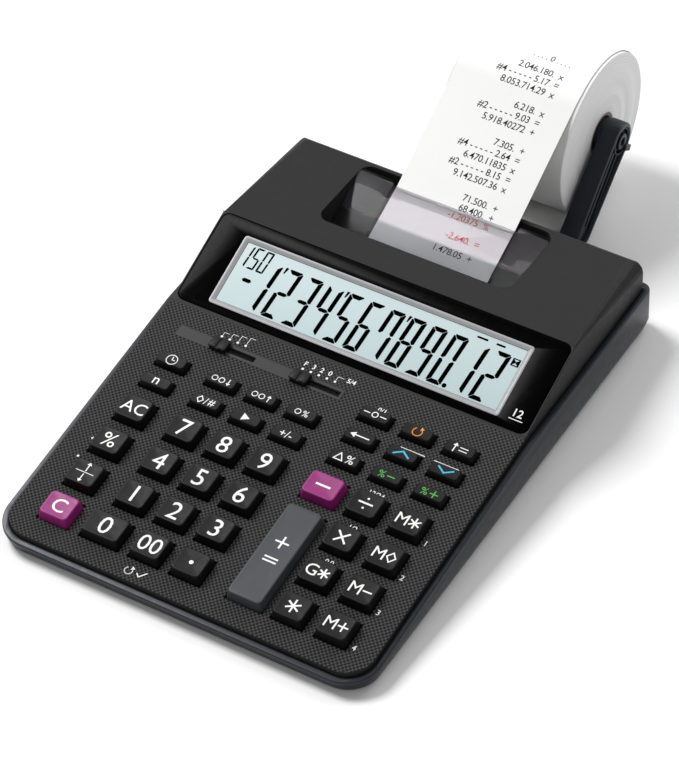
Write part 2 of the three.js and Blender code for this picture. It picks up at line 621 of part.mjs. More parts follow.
function batteryCover() {
  return box(-BAY.x / 2 + GAP, BAY.x / 2 - GAP, BAY.y0 + GAP, BAY.y1 - GAP, 0, FLOOR_THICKNESS);
}

// ---- assembly -----------------------------------------------------------
const assembly = new THREE.Group();
const machine = new THREE.Group();
machine.position.set(0, -OVERALL_DEPTH / 2, FOOT_HEIGHT);
assembly.add(machine);

function addPart(name, geometry, material) {
  const mesh = new THREE.Mesh(geometry, MATERIALS[material]);
  mesh.name = name;
  machine.add(mesh);
}

addPart('lower_case', lowerCase(), 'navy');
addPart('upper_case', upperCase(), 'charcoal');
addPart('display_bezel', displayBezel(), 'gloss');
addPart('lcd_panel', lcdPanel(), 'glass');
const matTop = -SHELL - GAP - KEY_FLANGE - KEY_TRAVEL - GAP;
addPart('key_mat', underDeck(MAT, matTop), 'mat');
addPart('main_board', underDeck(BOARD, matTop - MAT.thickness - GAP), 'board');
addPart('printer_frame', printerFrame(), 'frame');
addPart('feed_roller', roller(FEED_ROLLER_RADIUS, feedRollerCentre()), 'rubber');
addPart('ink_roller', roller(INK_ROLLER_RADIUS, inkRollerCentre()), 'ink');
addPart('paper_cutter', cutterPanel(), 'clear');
addPart('paper_tape', paperTape(), 'paper');
addPart('paper_roll', paperRoll(), 'paper');
addPart('left_paper_arm', paperArm(-1), 'arm');
addPart('right_paper_arm', paperArm(1), 'arm');
addPart('battery_cover', batteryCover(), 'navy');
KEYS.forEach((item) => addPart(item.name, keyGeometry(item), item.material));
SWITCHES.forEach((item) => addPart(item.name, switchKnob(item), 'blackKey'));

export default assembly;
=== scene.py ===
"""Looks of the desk printing calculator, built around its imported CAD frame.

Everything is in metres in the row frame once it is placed. Pieces are drawn in millimetres in a local
plane (case, deck, display or cutter) that has x across, y towards the rear and z off the surface.
"""

import math

import bmesh
import bpy
from mathutils import Matrix, Vector


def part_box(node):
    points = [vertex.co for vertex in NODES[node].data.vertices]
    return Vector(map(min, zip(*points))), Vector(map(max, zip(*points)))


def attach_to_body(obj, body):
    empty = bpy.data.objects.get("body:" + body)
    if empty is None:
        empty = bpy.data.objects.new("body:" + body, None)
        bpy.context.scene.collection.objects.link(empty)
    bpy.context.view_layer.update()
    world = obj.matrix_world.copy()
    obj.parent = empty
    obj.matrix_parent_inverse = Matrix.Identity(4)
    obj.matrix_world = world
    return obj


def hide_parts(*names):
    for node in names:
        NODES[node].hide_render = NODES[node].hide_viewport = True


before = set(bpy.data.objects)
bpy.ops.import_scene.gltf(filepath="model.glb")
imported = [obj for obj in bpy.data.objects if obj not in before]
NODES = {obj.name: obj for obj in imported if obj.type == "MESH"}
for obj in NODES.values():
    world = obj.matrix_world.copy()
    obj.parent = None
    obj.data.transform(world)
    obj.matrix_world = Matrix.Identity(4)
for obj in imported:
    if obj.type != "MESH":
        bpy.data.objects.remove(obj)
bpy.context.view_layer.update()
MM = 0.001

# ---- driving dimensions, as in the CAD model (millimetres, case frame) -------------------------
FOOT_HEIGHT = 1.2
RIM_FRONT_Z = 6.1
RIM_REAR_Z = 23.1
DECK_RISE = 2.7
DISPLAY_Y0, DISPLAY_Y1 = 151.7, 197.4
HUMP_FRONT_Z = 42.7
CUTTER_REAR = (256, 41.2)
CUTTER_FRONT = (217.5, 25.3)
CUTTER_THICKNESS = 1.2
PRINTER_X = -2.5
RECESS_HALF = 51.5
TAPE_X = -1.1
TAPE_WIDTH = 64
ROLL_X, ROLL_Y, ROLL_Z = 2.2, 331, 42.5
ROLL_RADIUS = 41
ROLL_WIDTH = 68
ROLL_BORE = 9.5
GAP = 0.3
WINDOW = (154, 37)
WINDOW_START = 4
LCD_SINK = 0.7
SWITCH_Y = 135
CASE_DEPTH = 268

DECK_ANGLE = math.atan2(RIM_REAR_Z - RIM_FRONT_Z, DISPLAY_Y0)
DECK_FRONT_Z = RIM_FRONT_Z + DECK_RISE
DISPLAY_Z0 = RIM_REAR_Z + DECK_RISE
DISPLAY_ANGLE = math.atan2(HUMP_FRONT_Z - DISPLAY_Z0, DISPLAY_Y1 - DISPLAY_Y0)
CUTTER_ANGLE = math.atan2(CUTTER_REAR[1] - CUTTER_FRONT[1], CUTTER_REAR[0] - CUTTER_FRONT[0])
CUTTER_LENGTH = math.hypot(CUTTER_REAR[1] - CUTTER_FRONT[1], CUTTER_REAR[0] - CUTTER_FRONT[0])

CASE_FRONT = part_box("lower_case")[0].y
CASE = Matrix.Translation((0, CASE_FRONT, FOOT_HEIGHT * MM)) @ Matrix.Scale(MM, 4)


def sloped(angle, y, z):
    """The local plane that starts at (y, z) in the case frame and rises towards the rear."""
    return CASE @ Matrix.Translation((0, y, z)) @ Matrix.Rotation(angle, 4, "X")


DECK = sloped(DECK_ANGLE, 0, DECK_FRONT_Z)
DISPLAY = sloped(DISPLAY_ANGLE, DISPLAY_Y0, DISPLAY_Z0)
CUTTER = sloped(CUTTER_ANGLE, *CUTTER_FRONT)


def local_box(node, plane):
    """(lowest, highest) corner of a CAD node in a local plane, in millimetres."""
    inverse = plane.inverted()
    points = [inverse @ v.co for v in NODES[node].data.vertices]
    low = Vector([min(p[i] for p in points) for i in range(3)])
    high = Vector([max(p[i] for p in points) for i in range(3)])
    return low, high


def middle(low, high):
    """The (x, y) half way between two corners."""
    return (low.x + high.x) / 2, (low.y + high.y) / 2


# ---- camera, floor and light -------------------------------------------------------------------
CAMERA_AZIMUTH = math.radians(32.74)
CAMERA_ELEVATION = math.radians(45.30)
CAMERA_ROLL = math.radians(-2.66)
CAMERA_DISTANCE = 1.7044
CAMERA_TARGET = CASE @ Vector((6.53, 134.73, 30))
CAMERA_LENS = 175.2
ROOM_STRENGTH = 0.31
LIGHTS = (                  # name, place, target, size and power
    ("key", (-1.35, 0.25, 1.7), (0, 0, 0), 0.9, 47),
    ("fill", (0.9, -1.6, 1.5), (0, 0, 0), 1.6, 4),
    ("back", (0.3, 1.6, 1.3), (0, 0.1, 0), 1.2, 14),
)
FLOOR_HALF = 4


def make_camera():
    az, el, roll = CAMERA_AZIMUTH, CAMERA_ELEVATION, CAMERA_ROLL
    back = Vector((math.sin(az) * math.cos(el), -math.cos(az) * math.cos(el), math.sin(el)))
    level = Vector((math.cos(az), math.sin(az), 0))
    up = back.cross(level)
    right = math.cos(roll) * level + math.sin(roll) * up
    top = -math.sin(roll) * level + math.cos(roll) * up
    data = bpy.data.cameras.new("camera")
    data.lens = CAMERA_LENS
    data.sensor_width = 36
    data.clip_end = 20
    camera = bpy.data.objects.new("camera", data)
    place = CAMERA_TARGET + back * CAMERA_DISTANCE
    camera.matrix_world = Matrix(
        ((right.x, top.x, back.x, place.x), (right.y, top.y, back.y, place.y),
         (right.z, top.z, back.z, place.z), (0, 0, 0, 1)))
    bpy.context.scene.collection.objects.link(camera)
    bpy.context.scene.camera = camera


def area_light(name, place, target, size, energy):
    data = bpy.data.lights.new(name, "AREA")
    data.size = size
    data.energy = energy
    light = bpy.data.objects.new(name, data)
    light.location = place
    light.rotation_euler = (Vector(target) - Vector(place)).to_track_quat("-Z", "Y").to_euler()
    bpy.context.scene.collection.objects.link(light)


# ---- node-based materials ----------------------------------------------------------------------
def rgb(code):
    """Linear colour of a #rrggbb code."""
    channels = [int(code[i:i + 2], 16) / 255 for i in (1, 3, 5)]
    linear = [c / 12.92 if c <= 0.04045 else ((c + 0.055) / 1.055) ** 2.4 for c in channels]
    return (*linear, 1)


class Shader:
    """A material under construction: add() makes a node and links what it is given."""

    def __init__(self, name):
        self.material = bpy.data.materials.new(name)
        self.material.use_nodes = True
        self.tree = self.material.node_tree
        self.bsdf = self.tree.nodes["Principled BSDF"]
        self.place = self.add("ShaderNodeTexCoord").outputs["Object"]

    def add(self, kind, inputs=None, **settings):
        node = self.tree.nodes.new(kind)
        for key, value in settings.items():
            setattr(node, key, value)
        for key, value in (inputs or {}).items():
            self.put(node.inputs[key], value)
        return node

    def put(self, socket, value):
        if isinstance(value, bpy.types.NodeSocket):
            self.tree.links.new(value, socket)
        else:
            socket.default_value = value

    def set(self, **values):
        """Puts constants or links straight into the shader's own sockets."""
        for key, value in values.items():
            self.put(self.bsdf.inputs[key.replace("_", " ")], value)

    def math(self, operation, a, b=0.0, c=0.0):
        node = self.add("ShaderNodeMath", operation=operation)
        for socket, value in zip(node.inputs, (a, b, c)):
            self.put(socket, value)
        return node.outputs[0]

    def split(self, vector=None):
        """The x, y and z of a vector: of the place on the object, if none is given."""
        return self.add("ShaderNodeSeparateXYZ", {"Vector": self.place if vector is None else vector}).outputs

    def facing(self):
        """The x, y and z of the face's own direction."""
        return self.split(self.add("ShaderNodeNewGeometry").outputs["True Normal"])

    def noise(self, scale, detail=2.0, roughness=0.5):
        return self.add("ShaderNodeTexNoise", {
            "Vector": self.place, "Scale": scale, "Detail": detail, "Roughness": roughness}).outputs["Fac"]

    def range(self, value, low, high, to_low, to_high, smooth=False):
        return self.add("ShaderNodeMapRange", {
            "Value": value, "From Min": low, "From Max": high, "To Min": to_low, "To Max": to_high},
            interpolation_type="SMOOTHSTEP" if smooth else "LINEAR").outputs["Result"]

    def mix(self, factor, a, b):
        node = self.add("ShaderNodeMix", data_type="RGBA")
        self.put(node.inputs[0], factor)
        self.put(node.inputs[6], a)
        self.put(node.inputs[7], b)
        return node.outputs[2]

    def bump(self, height, distance, strength=1.0, below=None):
        node = self.add("ShaderNodeBump", {"Height": height, "Distance": distance, "Strength": strength})
        if below is not None:
            self.put(node.inputs["Normal"], below)
        return node.outputs["Normal"]


def shade_of(colour, factor):
    return (*(min(1, c * factor) for c in colour[:3]), 1)


TONE_SCALE = 60             # noise cells per metre for slow changes of tone
GLOSS_SCALE = 300           # the same for gloss
GRAIN_SCALE = 2600          # and for the surface's grain


def moulded_shader(name, code, roughness, grain=0.00002, spread=0.12, specular=0.5, metallic=0.0):
    """A fine spark-eroded grain, and slow changes in tone and gloss."""
    s = Shader(name)
    colour = rgb(code)
    slow = s.noise(TONE_SCALE, 3)
    s.set(Base_Color=s.mix(slow, shade_of(colour, 1 - spread), shade_of(colour, 1 + spread)),
          Roughness=s.range(s.noise(GLOSS_SCALE, 3), 0.3, 0.7, roughness * 0.88, roughness * 1.12),
          Normal=s.bump(s.noise(GRAIN_SCALE, 2), grain, 0.8),
          Specular_IOR_Level=specular, Metallic=metallic)
    return s


def moulded(name, code, roughness, **options):
    """Moulded plastic, or metal."""
    return moulded_shader(name, code, roughness, **options).material


WEAVE_ALONG = 2.2 * MM      # period of the deck's relief across the object
WEAVE_BACK = 2.3 * MM       # and towards the rear; every other row of ribs is staggered
WEAVE_END = 1.5             # from the last of the weave to the display, in millimetres


def deck_plastic(name):
    """Charcoal shell: a weave relief over the keypad deck, and plain satin plastic elsewhere. Over the deck
    the relief is also painted into the colour: painted highlight on its ridges and painted shade in its
    hollows.
    """
    s = moulded_shader(name, "#29292a", 0.5, grain=0.000016, spread=0.05, specular=0.14)
    x, y, _ = s.split()
    ribs = s.math("MULTIPLY", s.math("SINE", s.math("MULTIPLY", x, 2 * math.pi / WEAVE_ALONG)),
                  s.math("SINE", s.math("MULTIPLY", y, 2 * math.pi / WEAVE_BACK)))
    deck_end = CASE_FRONT + (DISPLAY_Y0 - WEAVE_END) * MM
    on_deck = s.math("MULTIPLY", s.range(y, deck_end - 0.001, deck_end, 1, 0),
                     s.range(s.facing()["Z"], 0.5, 0.75, 0, 1))
    relief = s.math("MULTIPLY", ribs, on_deck)
    plain = s.bsdf.inputs["Base Color"].links[0].from_socket
    # painted highlight on the relief's ridges and painted shade in its hollows, as colour
    weave_highlight_shade = s.mix(s.range(relief, -0.7, 0.7, 0, 1, smooth=True), rgb("#121212"), rgb("#4a4a4a"))
    grain = s.bsdf.inputs["Normal"].links[0].from_socket
    s.set(Base_Color=s.mix(on_deck, plain, weave_highlight_shade), Normal=s.bump(relief, 0.0003, 1.0, below=grain))
    return s.material


CUTTER_BAND = 19            # depth of the panel's darker band, from its front edge
TEAR_INSET = 2              # from the panel's rear edge to the end of the clear part


def clear_plastic(name):
    """Smoky clear cutter panel: a darker band along its front, frosted near the tear edge."""
    s = Shader(name)
    y = s.split()["Y"]
    band_end = CASE_FRONT + (CUTTER_FRONT[0] + CUTTER_BAND) * MM
    tear = CASE_FRONT + (CUTTER_REAR[0] - TEAR_INSET) * MM
    in_band = s.range(y, band_end - 0.0004, band_end, 1, 0, smooth=True)
    frost = s.range(y, tear - 0.0055, tear - 0.005, 0, 1, smooth=True)
    tint = s.mix(in_band, rgb("#fbf7fb"), rgb("#cccdcf"))
    s.set(Base_Color=s.mix(s.math("MULTIPLY", frost, 0.6), tint, rgb("#dcdcde")),
          Roughness=s.math("ADD", s.math("MULTIPLY", s.math("MAXIMUM", in_band, frost), 0.2),
                           s.range(s.noise(90), 0.3, 0.7, 0.01, 0.03)),
          Transmission_Weight=1.0, IOR=1.15)
    return s.material


def paper(name, code="#f3f3f2"):
    """Thermal paper: soft fibres and a faint sheen."""
    s = Shader(name)
    colour = rgb(code)
    s.set(Base_Color=s.mix(s.noise(220, 4), shade_of(colour, 0.97), colour), Roughness=0.62,
          Normal=s.bump(s.noise(900, 4), 0.00003, 0.5))
    return s


def wound_paper(name):
    """Edge of the wound roll: fine rings about the roll's own axis."""
    s = paper(name, "#e8e8e7")
    centre = CASE @ Vector((ROLL_X, ROLL_Y, ROLL_Z))
    _, y, z = s.split()
    dy, dz = s.math("SUBTRACT", y, centre.y), s.math("SUBTRACT", z, centre.z)
    radius = s.math("SQRT", s.math("ADD", s.math("MULTIPLY", dy, dy), s.math("MULTIPLY", dz, dz)))
    rings = s.add("ShaderNodeTexNoise", {
        "Vector": s.add("ShaderNodeCombineXYZ", {"X": radius}).outputs[0],
        "Scale": 1500.0, "Detail": 3.0}).outputs["Fac"]
    sideways = s.math("ABSOLUTE", s.facing()["X"])
    tone = s.range(rings, 0.3, 0.7, 0, 1)
    layered = s.mix(tone, rgb("#dededf"), rgb("#f0f0f0"))
    s.set(Base_Color=s.mix(s.range(sideways, 0.3, 0.6, 0, 1), rgb("#ebebea"), layered),
          Normal=s.bump(s.math("MULTIPLY", rings, sideways), 0.00004, 0.8))
    return s.material


def glossy(name, code):
    """Smooth black panel, so dark that it hardly mirrors the room."""
    return moulded(name, code, 0.24, grain=0.000001, spread=0.05, specular=0.03)


def lcd_material(name):
    """Reflective liquid crystal: pale cyan, slightly darker towards its lower edge."""
    s = Shader(name)
    low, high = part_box("lcd_panel")
    base = s.mix(s.range(s.split()["Z"], low.z, high.z, 0, 1), rgb("#b3c6c8"), rgb("#c3d3d5"))
    s.set(Base_Color=s.mix(s.math("MULTIPLY", s.noise(40, 2), 0.12), base, rgb("#a2bcbf")), Roughness=0.3,
          Normal=s.bump(s.noise(3000, 2), 0.000004, 0.4), Specular_IOR_Level=0.2,
          Coat_Weight=0.15, Coat_Roughness=0.05)
    return s.material


def circuit(name):
    """Green board with paler copper tracks."""
    s = Shader(name)
    tracks = s.add("ShaderNodeTexBrick", {
        "Vector": s.place, "Scale": 90.0, "Mortar Size": 0.03, "Color1": rgb("#1c5a35"),
        "Color2": rgb("#20633b"), "Mortar": rgb("#4f8c5c")})
    s.set(Base_Color=tracks.outputs["Color"], Roughness=s.range(s.noise(200), 0.3, 0.7, 0.35, 0.55),
          Normal=s.bump(tracks.outputs["Fac"], 0.00006, 0.6))
    return s.material


def printed(name, code, roughness=0.5, specular=0.3):
    """Ink or paint: nearly even, with a soft change of tone and gloss."""
    s = Shader(name)
    colour = rgb(code)
    s.set(Base_Color=s.mix(s.noise(400, 3), shade_of(colour, 0.94), colour),
          Roughness=s.range(s.noise(900), 0.3, 0.7, roughness * 0.9, roughness * 1.1),
          Specular_IOR_Level=specular)
    return s.material


def floor_material(name):
    """Matt white paper sweep."""
    s = Shader(name)
    s.set(Base_Color=s.mix(s.noise(3, 2), (0.93, 0.93, 0.93, 1), (0.95, 0.95, 0.95, 1)), Roughness=0.9,
          Specular_IOR_Level=0.0)
    return s.material


M = {
    "upper_shell": deck_plastic("charcoal_shell"),
    "lower_shell": moulded("navy_shell", "#1b1d26", 0.36, grain=0.00002, spread=0.05, specular=0.3),
    "smooth_shell": moulded("smooth_grey", "#39393a", 0.45, spread=0.04, specular=0.15),
    "gloss_panel": glossy("gloss_black", "#020202"),
    "lcd_glass": lcd_material("lcd_face"),
    "lcd_frame": moulded("lcd_frame_grey", "#9b9c9e", 0.35, spread=0.04, specular=0.4),
    "lcd_ink": printed("lcd_segment", "#010101", 0.7, specular=0.0),
    "rubber_mat": moulded("silicone_mat", "#77797c", 0.75),
    "circuit_board": circuit("green_board"),
    "printer_plastic": moulded("printer_black", "#2e2e30", 0.5, spread=0.04, specular=0.15),
    "roller_rubber": moulded("roller_rubber", "#141414", 0.8, grain=0.00005),
    "ink_felt": moulded("ink_felt", "#241a3a", 0.95, grain=0.0001),
    "clear_panel": clear_plastic("smoky_clear"),
    "paper": paper("paper").material,
    "paper_wound": wound_paper("paper_wound"),
    "card": moulded("card_core", "#8d8174", 0.85, grain=0.00006),
    "arm_plastic": moulded("arm_navy", "#1d1f29", 0.4, grain=0.00003, spread=0.05, specular=0.25),
    "key_black": moulded("key_black", "#0f0f10", 0.46, grain=0.000014, spread=0.05, specular=0.16),
    "key_magenta": moulded("key_magenta", "#8e2270", 0.42, grain=0.000014, spread=0.06, specular=0.3),
    "key_grey": moulded("key_grey", "#424448", 0.42, grain=0.000014, spread=0.06, specular=0.2),
    "switch_plastic": moulded("switch_black", "#131314", 0.45, specular=0.2),
    "white": printed("white_ink", "#f4f4f2", 0.45),
    "orange": printed("orange_ink", "#f08a1d", 0.45),
    "green": printed("green_ink", "#4fb04a", 0.45),
    "cyan": printed("cyan_ink", "#41b6d8", 0.45),
    "black_ink": printed("printed_black", "#1d1d1f", 0.7),
    "red_ink": printed("printed_red", "#c8524c", 0.7),
    "steel": moulded("steel", "#b8b9bb", 0.3, spread=0.05, metallic=1.0),
    "floor": floor_material("floor"),
}


# ---- mesh helpers ------------------------------------------------------------------------------
SHARP = math.radians(32)     # edges that turn more than this stay sharp


def finish_mesh(name, bm, plane, material, sharp=SHARP):
    """An object at the origin whose mesh is in the row frame, smooth except across sharp edges."""
    bm.transform(plane)
    bm.normal_update()
    for face in bm.faces:
        face.smooth = True
    for edge in bm.edges:
        edge.smooth = edge.calc_face_angle(0) < sharp
    mesh = bpy.data.meshes.new(name)
    bm.to_mesh(mesh)
    bm.free()
    mesh.materials.append(M[material])
    obj = bpy.data.objects.new(name, mesh)
    bpy.context.scene.collection.objects.link(obj)
    return obj


def place_piece(obj, body, replaces=()):
    """obj rides a body and takes the place of CAD nodes."""
    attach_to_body(obj, body)
    if replaces:
        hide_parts(*replaces)
    return obj


def attach(obj, parent):
    """obj rides with parent, in place."""
    obj.parent = parent
    obj.matrix_parent_inverse = parent.matrix_world.inverted()
    return obj


def on_case(name, bm, plane, material):
    """A finished mesh that rides the case."""
    return place_piece(finish_mesh(name, bm, plane, material), "case")


def shift(bm, x=0.0, y=0.0, z=0.0):
    bmesh.ops.translate(bm, verts=bm.verts, vec=(x, y, z))
    return bm


def rounded_ring(half_x, half_y, radius, z, steps=6, centre=(0, 0)):
    """Points of a rectangle with round corners, anticlockwise from the right of its lower right corner."""
    radius = min(radius, half_x, half_y)
    points = []
    for corner, (sx, sy) in enumerate(((1, -1), (1, 1), (-1, 1), (-1, -1))):
        for k in range(steps + 1):
            angle = math.pi / 2 * (corner - 1 + k / steps)
            points.append((centre[0] + sx * (half_x - radius) + radius * math.cos(angle),
                           centre[1] + sy * (half_y - radius) + radius * math.sin(angle), z))
    return points


def circle_ring(radius, z, count=40, centre=(0, 0)):
    return [(centre[0] + radius * math.cos(2 * math.pi * i / count),
             centre[1] + radius * math.sin(2 * math.pi * i / count), z) for i in range(count)]


def circle(radius, count, x=0.0, y=0.0):
    """The (x, y) points of a circle."""
    return [point[:2] for point in circle_ring(radius, 0, count, (x, y))]


def skin(rings, close_start=True, close_end=True, loop=False):
    """A mesh through rings that all have the same number of points."""
    bm = bmesh.new()
    rows = [[bm.verts.new(p) for p in ring] for ring in rings]
    pairs = list(zip(rows, rows[1:])) + ([(rows[-1], rows[0])] if loop else [])
    for lower, upper in pairs:
        count = len(lower)
        for i in range(count):
            j = (i + 1) % count
            bm.faces.new((lower[i], lower[j], upper[j], upper[i]))
    if close_start and not loop:
        bm.faces.new(list(reversed(rows[0])))
    if close_end and not loop:
        bm.faces.new(rows[-1])
    return bm


def join(target, *others):
    """Adds the faces of other bmeshes to target."""
    for other in others:
        mesh = bpy.data.meshes.new("part")
        other.to_mesh(mesh)
        other.free()
        target.from_mesh(mesh)
        bpy.data.meshes.remove(mesh)
    return target


BLOCK_STEPS = 4             # facets round each upright corner of a block


def block(x0, x1, y0, y1, z0, z1, radius=0.0, edge=0.0):
    """A block with round upright corners and a rounded top edge."""
    centre = ((x0 + x1) / 2, (y0 + y1) / 2)
    half_x, half_y = (x1 - x0) / 2, (y1 - y0) / 2
    radius = max(radius, edge + 0.05)
    rings = [rounded_ring(half_x, half_y, radius, z0, BLOCK_STEPS, centre)]
    for k in range(4 if edge else 1):
        angle = math.pi / 2 * k / 3
        inset = edge * (1 - math.cos(angle))
        rings.append(rounded_ring(half_x - inset, half_y - inset, radius - inset,
                                  z1 - edge + edge * math.sin(angle), BLOCK_STEPS, centre))
    return skin(rings)


def lathe(profile, count=72):
    """(radius, height) profile turned about z: a closed loop, or a line from the axis to the axis."""
    rings = [circle_ring(max(r, 1e-4), h, count) for r, h in profile]
    on_axis = profile[0][0] == 0
    return skin(rings, on_axis, on_axis, loop=not on_axis)


def along_x(x, y, z, side=1):
    """Case-frame matrix that turns a lathe's z axis to +X or -X at a point."""
    return CASE @ Matrix.Translation((x, y, z)) @ Matrix.Rotation(side * math.pi / 2, 4, "Y")


SAME_POINT = 1e-6           # metres between CAD points that are one point
THINNEST_FACE = 0.00003      # a CAD face narrower than this has no dependable direction
HUMP_CORNER = (0.088, 0.050)    # x and y, in metres, beyond which the upper case keeps its CAD faces
MERGE_ANGLE = math.radians(0.6)      # faces this near to flat are merged
FLAT_ANGLE = math.radians(0.5)       # edges this near to flat may turn within their two faces
BEVEL_ANGLE = math.radians(28)       # edges that turn more than this are rounded


def wide_enough(face):
    return 2 * face.calc_area() / max(e.calc_length() for e in face.edges) > THINNEST_FACE


def in_hump_corner(edge):
    return any(abs(v.co.x) > HUMP_CORNER[0] and v.co.y > HUMP_CORNER[1] for v in edge.verts)


def shell_copy(node, name, material, width, segments=3, merge=True):
    """A copy of a CAD shell with its edges rounded.

    Its flat faces are merged first. A shell with many openings keeps them apart (merge=False): there the
    thinnest are cleared away and the others laid out anew.
    """
    bm = bmesh.new()
    bm.from_mesh(NODES[node].data)
    bmesh.ops.remove_doubles(bm, verts=bm.verts, dist=SAME_POINT)
    if merge:
        bmesh.ops.dissolve_limit(bm, angle_limit=MERGE_ANGLE, verts=bm.verts, edges=bm.edges)
    else:
        bmesh.ops.dissolve_degenerate(bm, dist=THINNEST_FACE / 2, edges=bm.edges)
        bmesh.ops.triangulate(bm, faces=bm.faces)
        flat = [e for e in bm.edges if e.is_manifold and e.calc_face_angle(0) < FLAT_ANGLE
                and not in_hump_corner(e)]
        bmesh.ops.beautify_fill(bm, faces=bm.faces, edges=flat, method="ANGLE")
    edges = [e for e in bm.edges if e.is_manifold and e.calc_face_angle(0) > BEVEL_ANGLE
             and all(wide_enough(f) for f in e.link_faces)
             and (merge or not in_hump_corner(e))]
    bmesh.ops.bevel(bm, geom=edges, offset=width * MM, offset_type="OFFSET", segments=segments,
                    profile=0.5, affect="EDGES", clamp_overlap=False, miter_outer="ARC", loop_slide=True)
    return finish_mesh(name, bm, Matrix.Identity(4), material)


# ---- lettering ---------------------------------------------------------------------------------
INK = 0.03                  # thickness of printed marks
SAME_LETTER_POINT = 1e-4    # millimetres between points of a letter that are one point


def text_shape(body, size, weight=0.0, align="CENTER", spacing=1.0):
    """A bmesh of generic characters, in millimetres, with its middle at the origin."""
    curve = bpy.data.curves.new("text", "FONT")
    curve.body = body
    curve.size = size
    curve.offset = weight
    curve.extrude = INK / 2
    curve.resolution_u = 3
    curve.space_character = spacing
    curve.align_x = align
    obj = bpy.data.objects.new("text", curve)
    bpy.context.scene.collection.objects.link(obj)
    mesh = obj.evaluated_get(bpy.context.evaluated_depsgraph_get()).to_mesh()
    bm = bmesh.new()
    bm.from_mesh(mesh)
    bpy.data.objects.remove(obj)
    bpy.data.curves.remove(curve)
    bmesh.ops.remove_doubles(bm, verts=bm.verts, dist=SAME_LETTER_POINT)
    return bm


def centred(bm, x=0.0, y=0.0):
    """Moves a bmesh so that its box is centred on (x, y)."""
    xs = [v.co.x for v in bm.verts]
    ys = [v.co.y for v in bm.verts]
    return shift(bm, x - (min(xs) + max(xs)) / 2, y - (min(ys) + max(ys)) / 2)


def polygon(points, thickness=INK):
    """A thin plate with that outline, in millimetres."""
    bm = bmesh.new()
    low = [bm.verts.new((x, y, -thickness / 2)) for x, y in points]
    high = [bm.verts.new((x, y, thickness / 2)) for x, y in points]
    bm.faces.new(high)
    bm.faces.new(list(reversed(low)))
    for i in range(len(points)):
        j = (i + 1) % len(points)
        bm.faces.new((low[i], low[j], high[j], high[i]))
    return bm


def stroke(points, width, closed=False):
    """A line of even width through the points, as one thin plate for each stretch."""
    bm = bmesh.new()
    ends = list(zip(points, points[1:])) + ([(points[-1], points[0])] if closed else [])
    for (x0, y0), (x1, y1) in ends:
        length = math.hypot(x1 - x0, y1 - y0)
        ux, uy = (x1 - x0) / length * width / 2, (y1 - y0) / length * width / 2
        join(bm, polygon([(x0 - ux + uy, y0 - uy - ux), (x1 + ux + uy, y1 + uy - ux),
                          (x1 + ux - uy, y1 + uy + ux), (x0 - ux - uy, y0 - uy + ux)]))
    return bm


def disc(x, y, radius, count=20):
    return polygon(circle(radius, count, x, y))


def mark(draw):
    """Makes a drawing function keep its values, to be called once more when the mark is drawn."""
    return lambda *values, **options: lambda: draw(*values, **options)


@mark
def text(body, size, weight=0.0):
    return centred(text_shape(body, size, weight))


def span(bm, axis):
    """Width (axis 0) or height (axis 1) of a bmesh."""
    values = [v.co[axis] for v in bm.verts]
    return max(values) - min(values)


@mark
def side_by_side(*parts, gap=0.8):
    """Marks in a row, centred together."""
    shapes = [part() for part in parts]
    widths = [span(shape, 0) for shape in shapes]
    x = -(sum(widths) + gap * (len(widths) - 1)) / 2
    whole = bmesh.new()
    for shape, width in zip(shapes, widths):
        join(whole, centred(shape, x + width / 2))
        x += width + gap
    return whole


@mark
def stacked(upper, lower, gap=1.2, rule=None):
    """Two marks one above the other, with a line of that length between them if asked."""
    top, bottom = upper(), lower()
    whole = centred(top, 0, gap / 2 + span(top, 1) / 2)
    join(whole, centred(bottom, 0, -gap / 2 - span(bottom, 1) / 2))
    if rule:
        join(whole, stroke([(-rule / 2, 0), (rule / 2, 0)], 0.35))
    return whole


@mark
def diamond(size, width):
    return stroke([(0, size), (size * 0.8, 0), (0, -size), (-size * 0.8, 0)], width, closed=True)


@mark
def triangle(size):
    return polygon([(-size * 0.8, -size), (size, 0), (-size * 0.8, size)])


@mark
def outline_triangle(size, width):
    return stroke([(-size, -size * 0.8), (size, -size * 0.8), (0, size)], width, closed=True)


@mark
def left_pointer():
    return polygon([(1.2, -1.6), (1.2, 1.6), (-1.5, 0)])


@mark
def chevron(size, direction):
    end = -direction * size / 2
    return stroke([(-size * 1.5, end), (0, -end), (size * 1.5, end)], 0.8)


@mark
def star(size, width=0.85):
    """An asterisk of three crossing strokes."""
    whole = bmesh.new()
    for k in range(3):
        angle = math.pi / 2 + k * math.pi / 3
        x, y = size * math.cos(angle), size * math.sin(angle)
        join(whole, stroke([(-x, -y), (x, y)], width))
    return whole


@mark
def cross(size, width=0.9, turned=False):
    """A plus sign, or a times sign when it is turned."""
    a = size * (math.sqrt(0.5) if turned else 1)
    lines = [[(-a, -a), (a, a)], [(-a, a), (a, -a)]] if turned else [[(-a, 0), (a, 0)], [(0, -a), (0, a)]]
    return join(stroke(lines[0], width), stroke(lines[1], width))


@mark
def dash(length, width):
    return stroke([(-length / 2, 0), (length / 2, 0)], width)


@mark
def divide_sign(size, width):
    return join(stroke([(-size, 0), (size, 0)], width), disc(0, size * 0.85, width * 0.62),
                disc(0, -size * 0.85, width * 0.62))


@mark
def equals_sign(size, width=0.85, gap=2.0):
    return join(stroke([(-size, gap / 2), (size, gap / 2)], width),
                stroke([(-size, -gap / 2), (size, -gap / 2)], width))


@mark
def clock(size, width=0.38):
    return join(stroke(circle(size, 24), width, closed=True), stroke([(0, 0), (0, size * 0.62)], width),
                stroke([(0, 0), (size * 0.5, 0)], width))


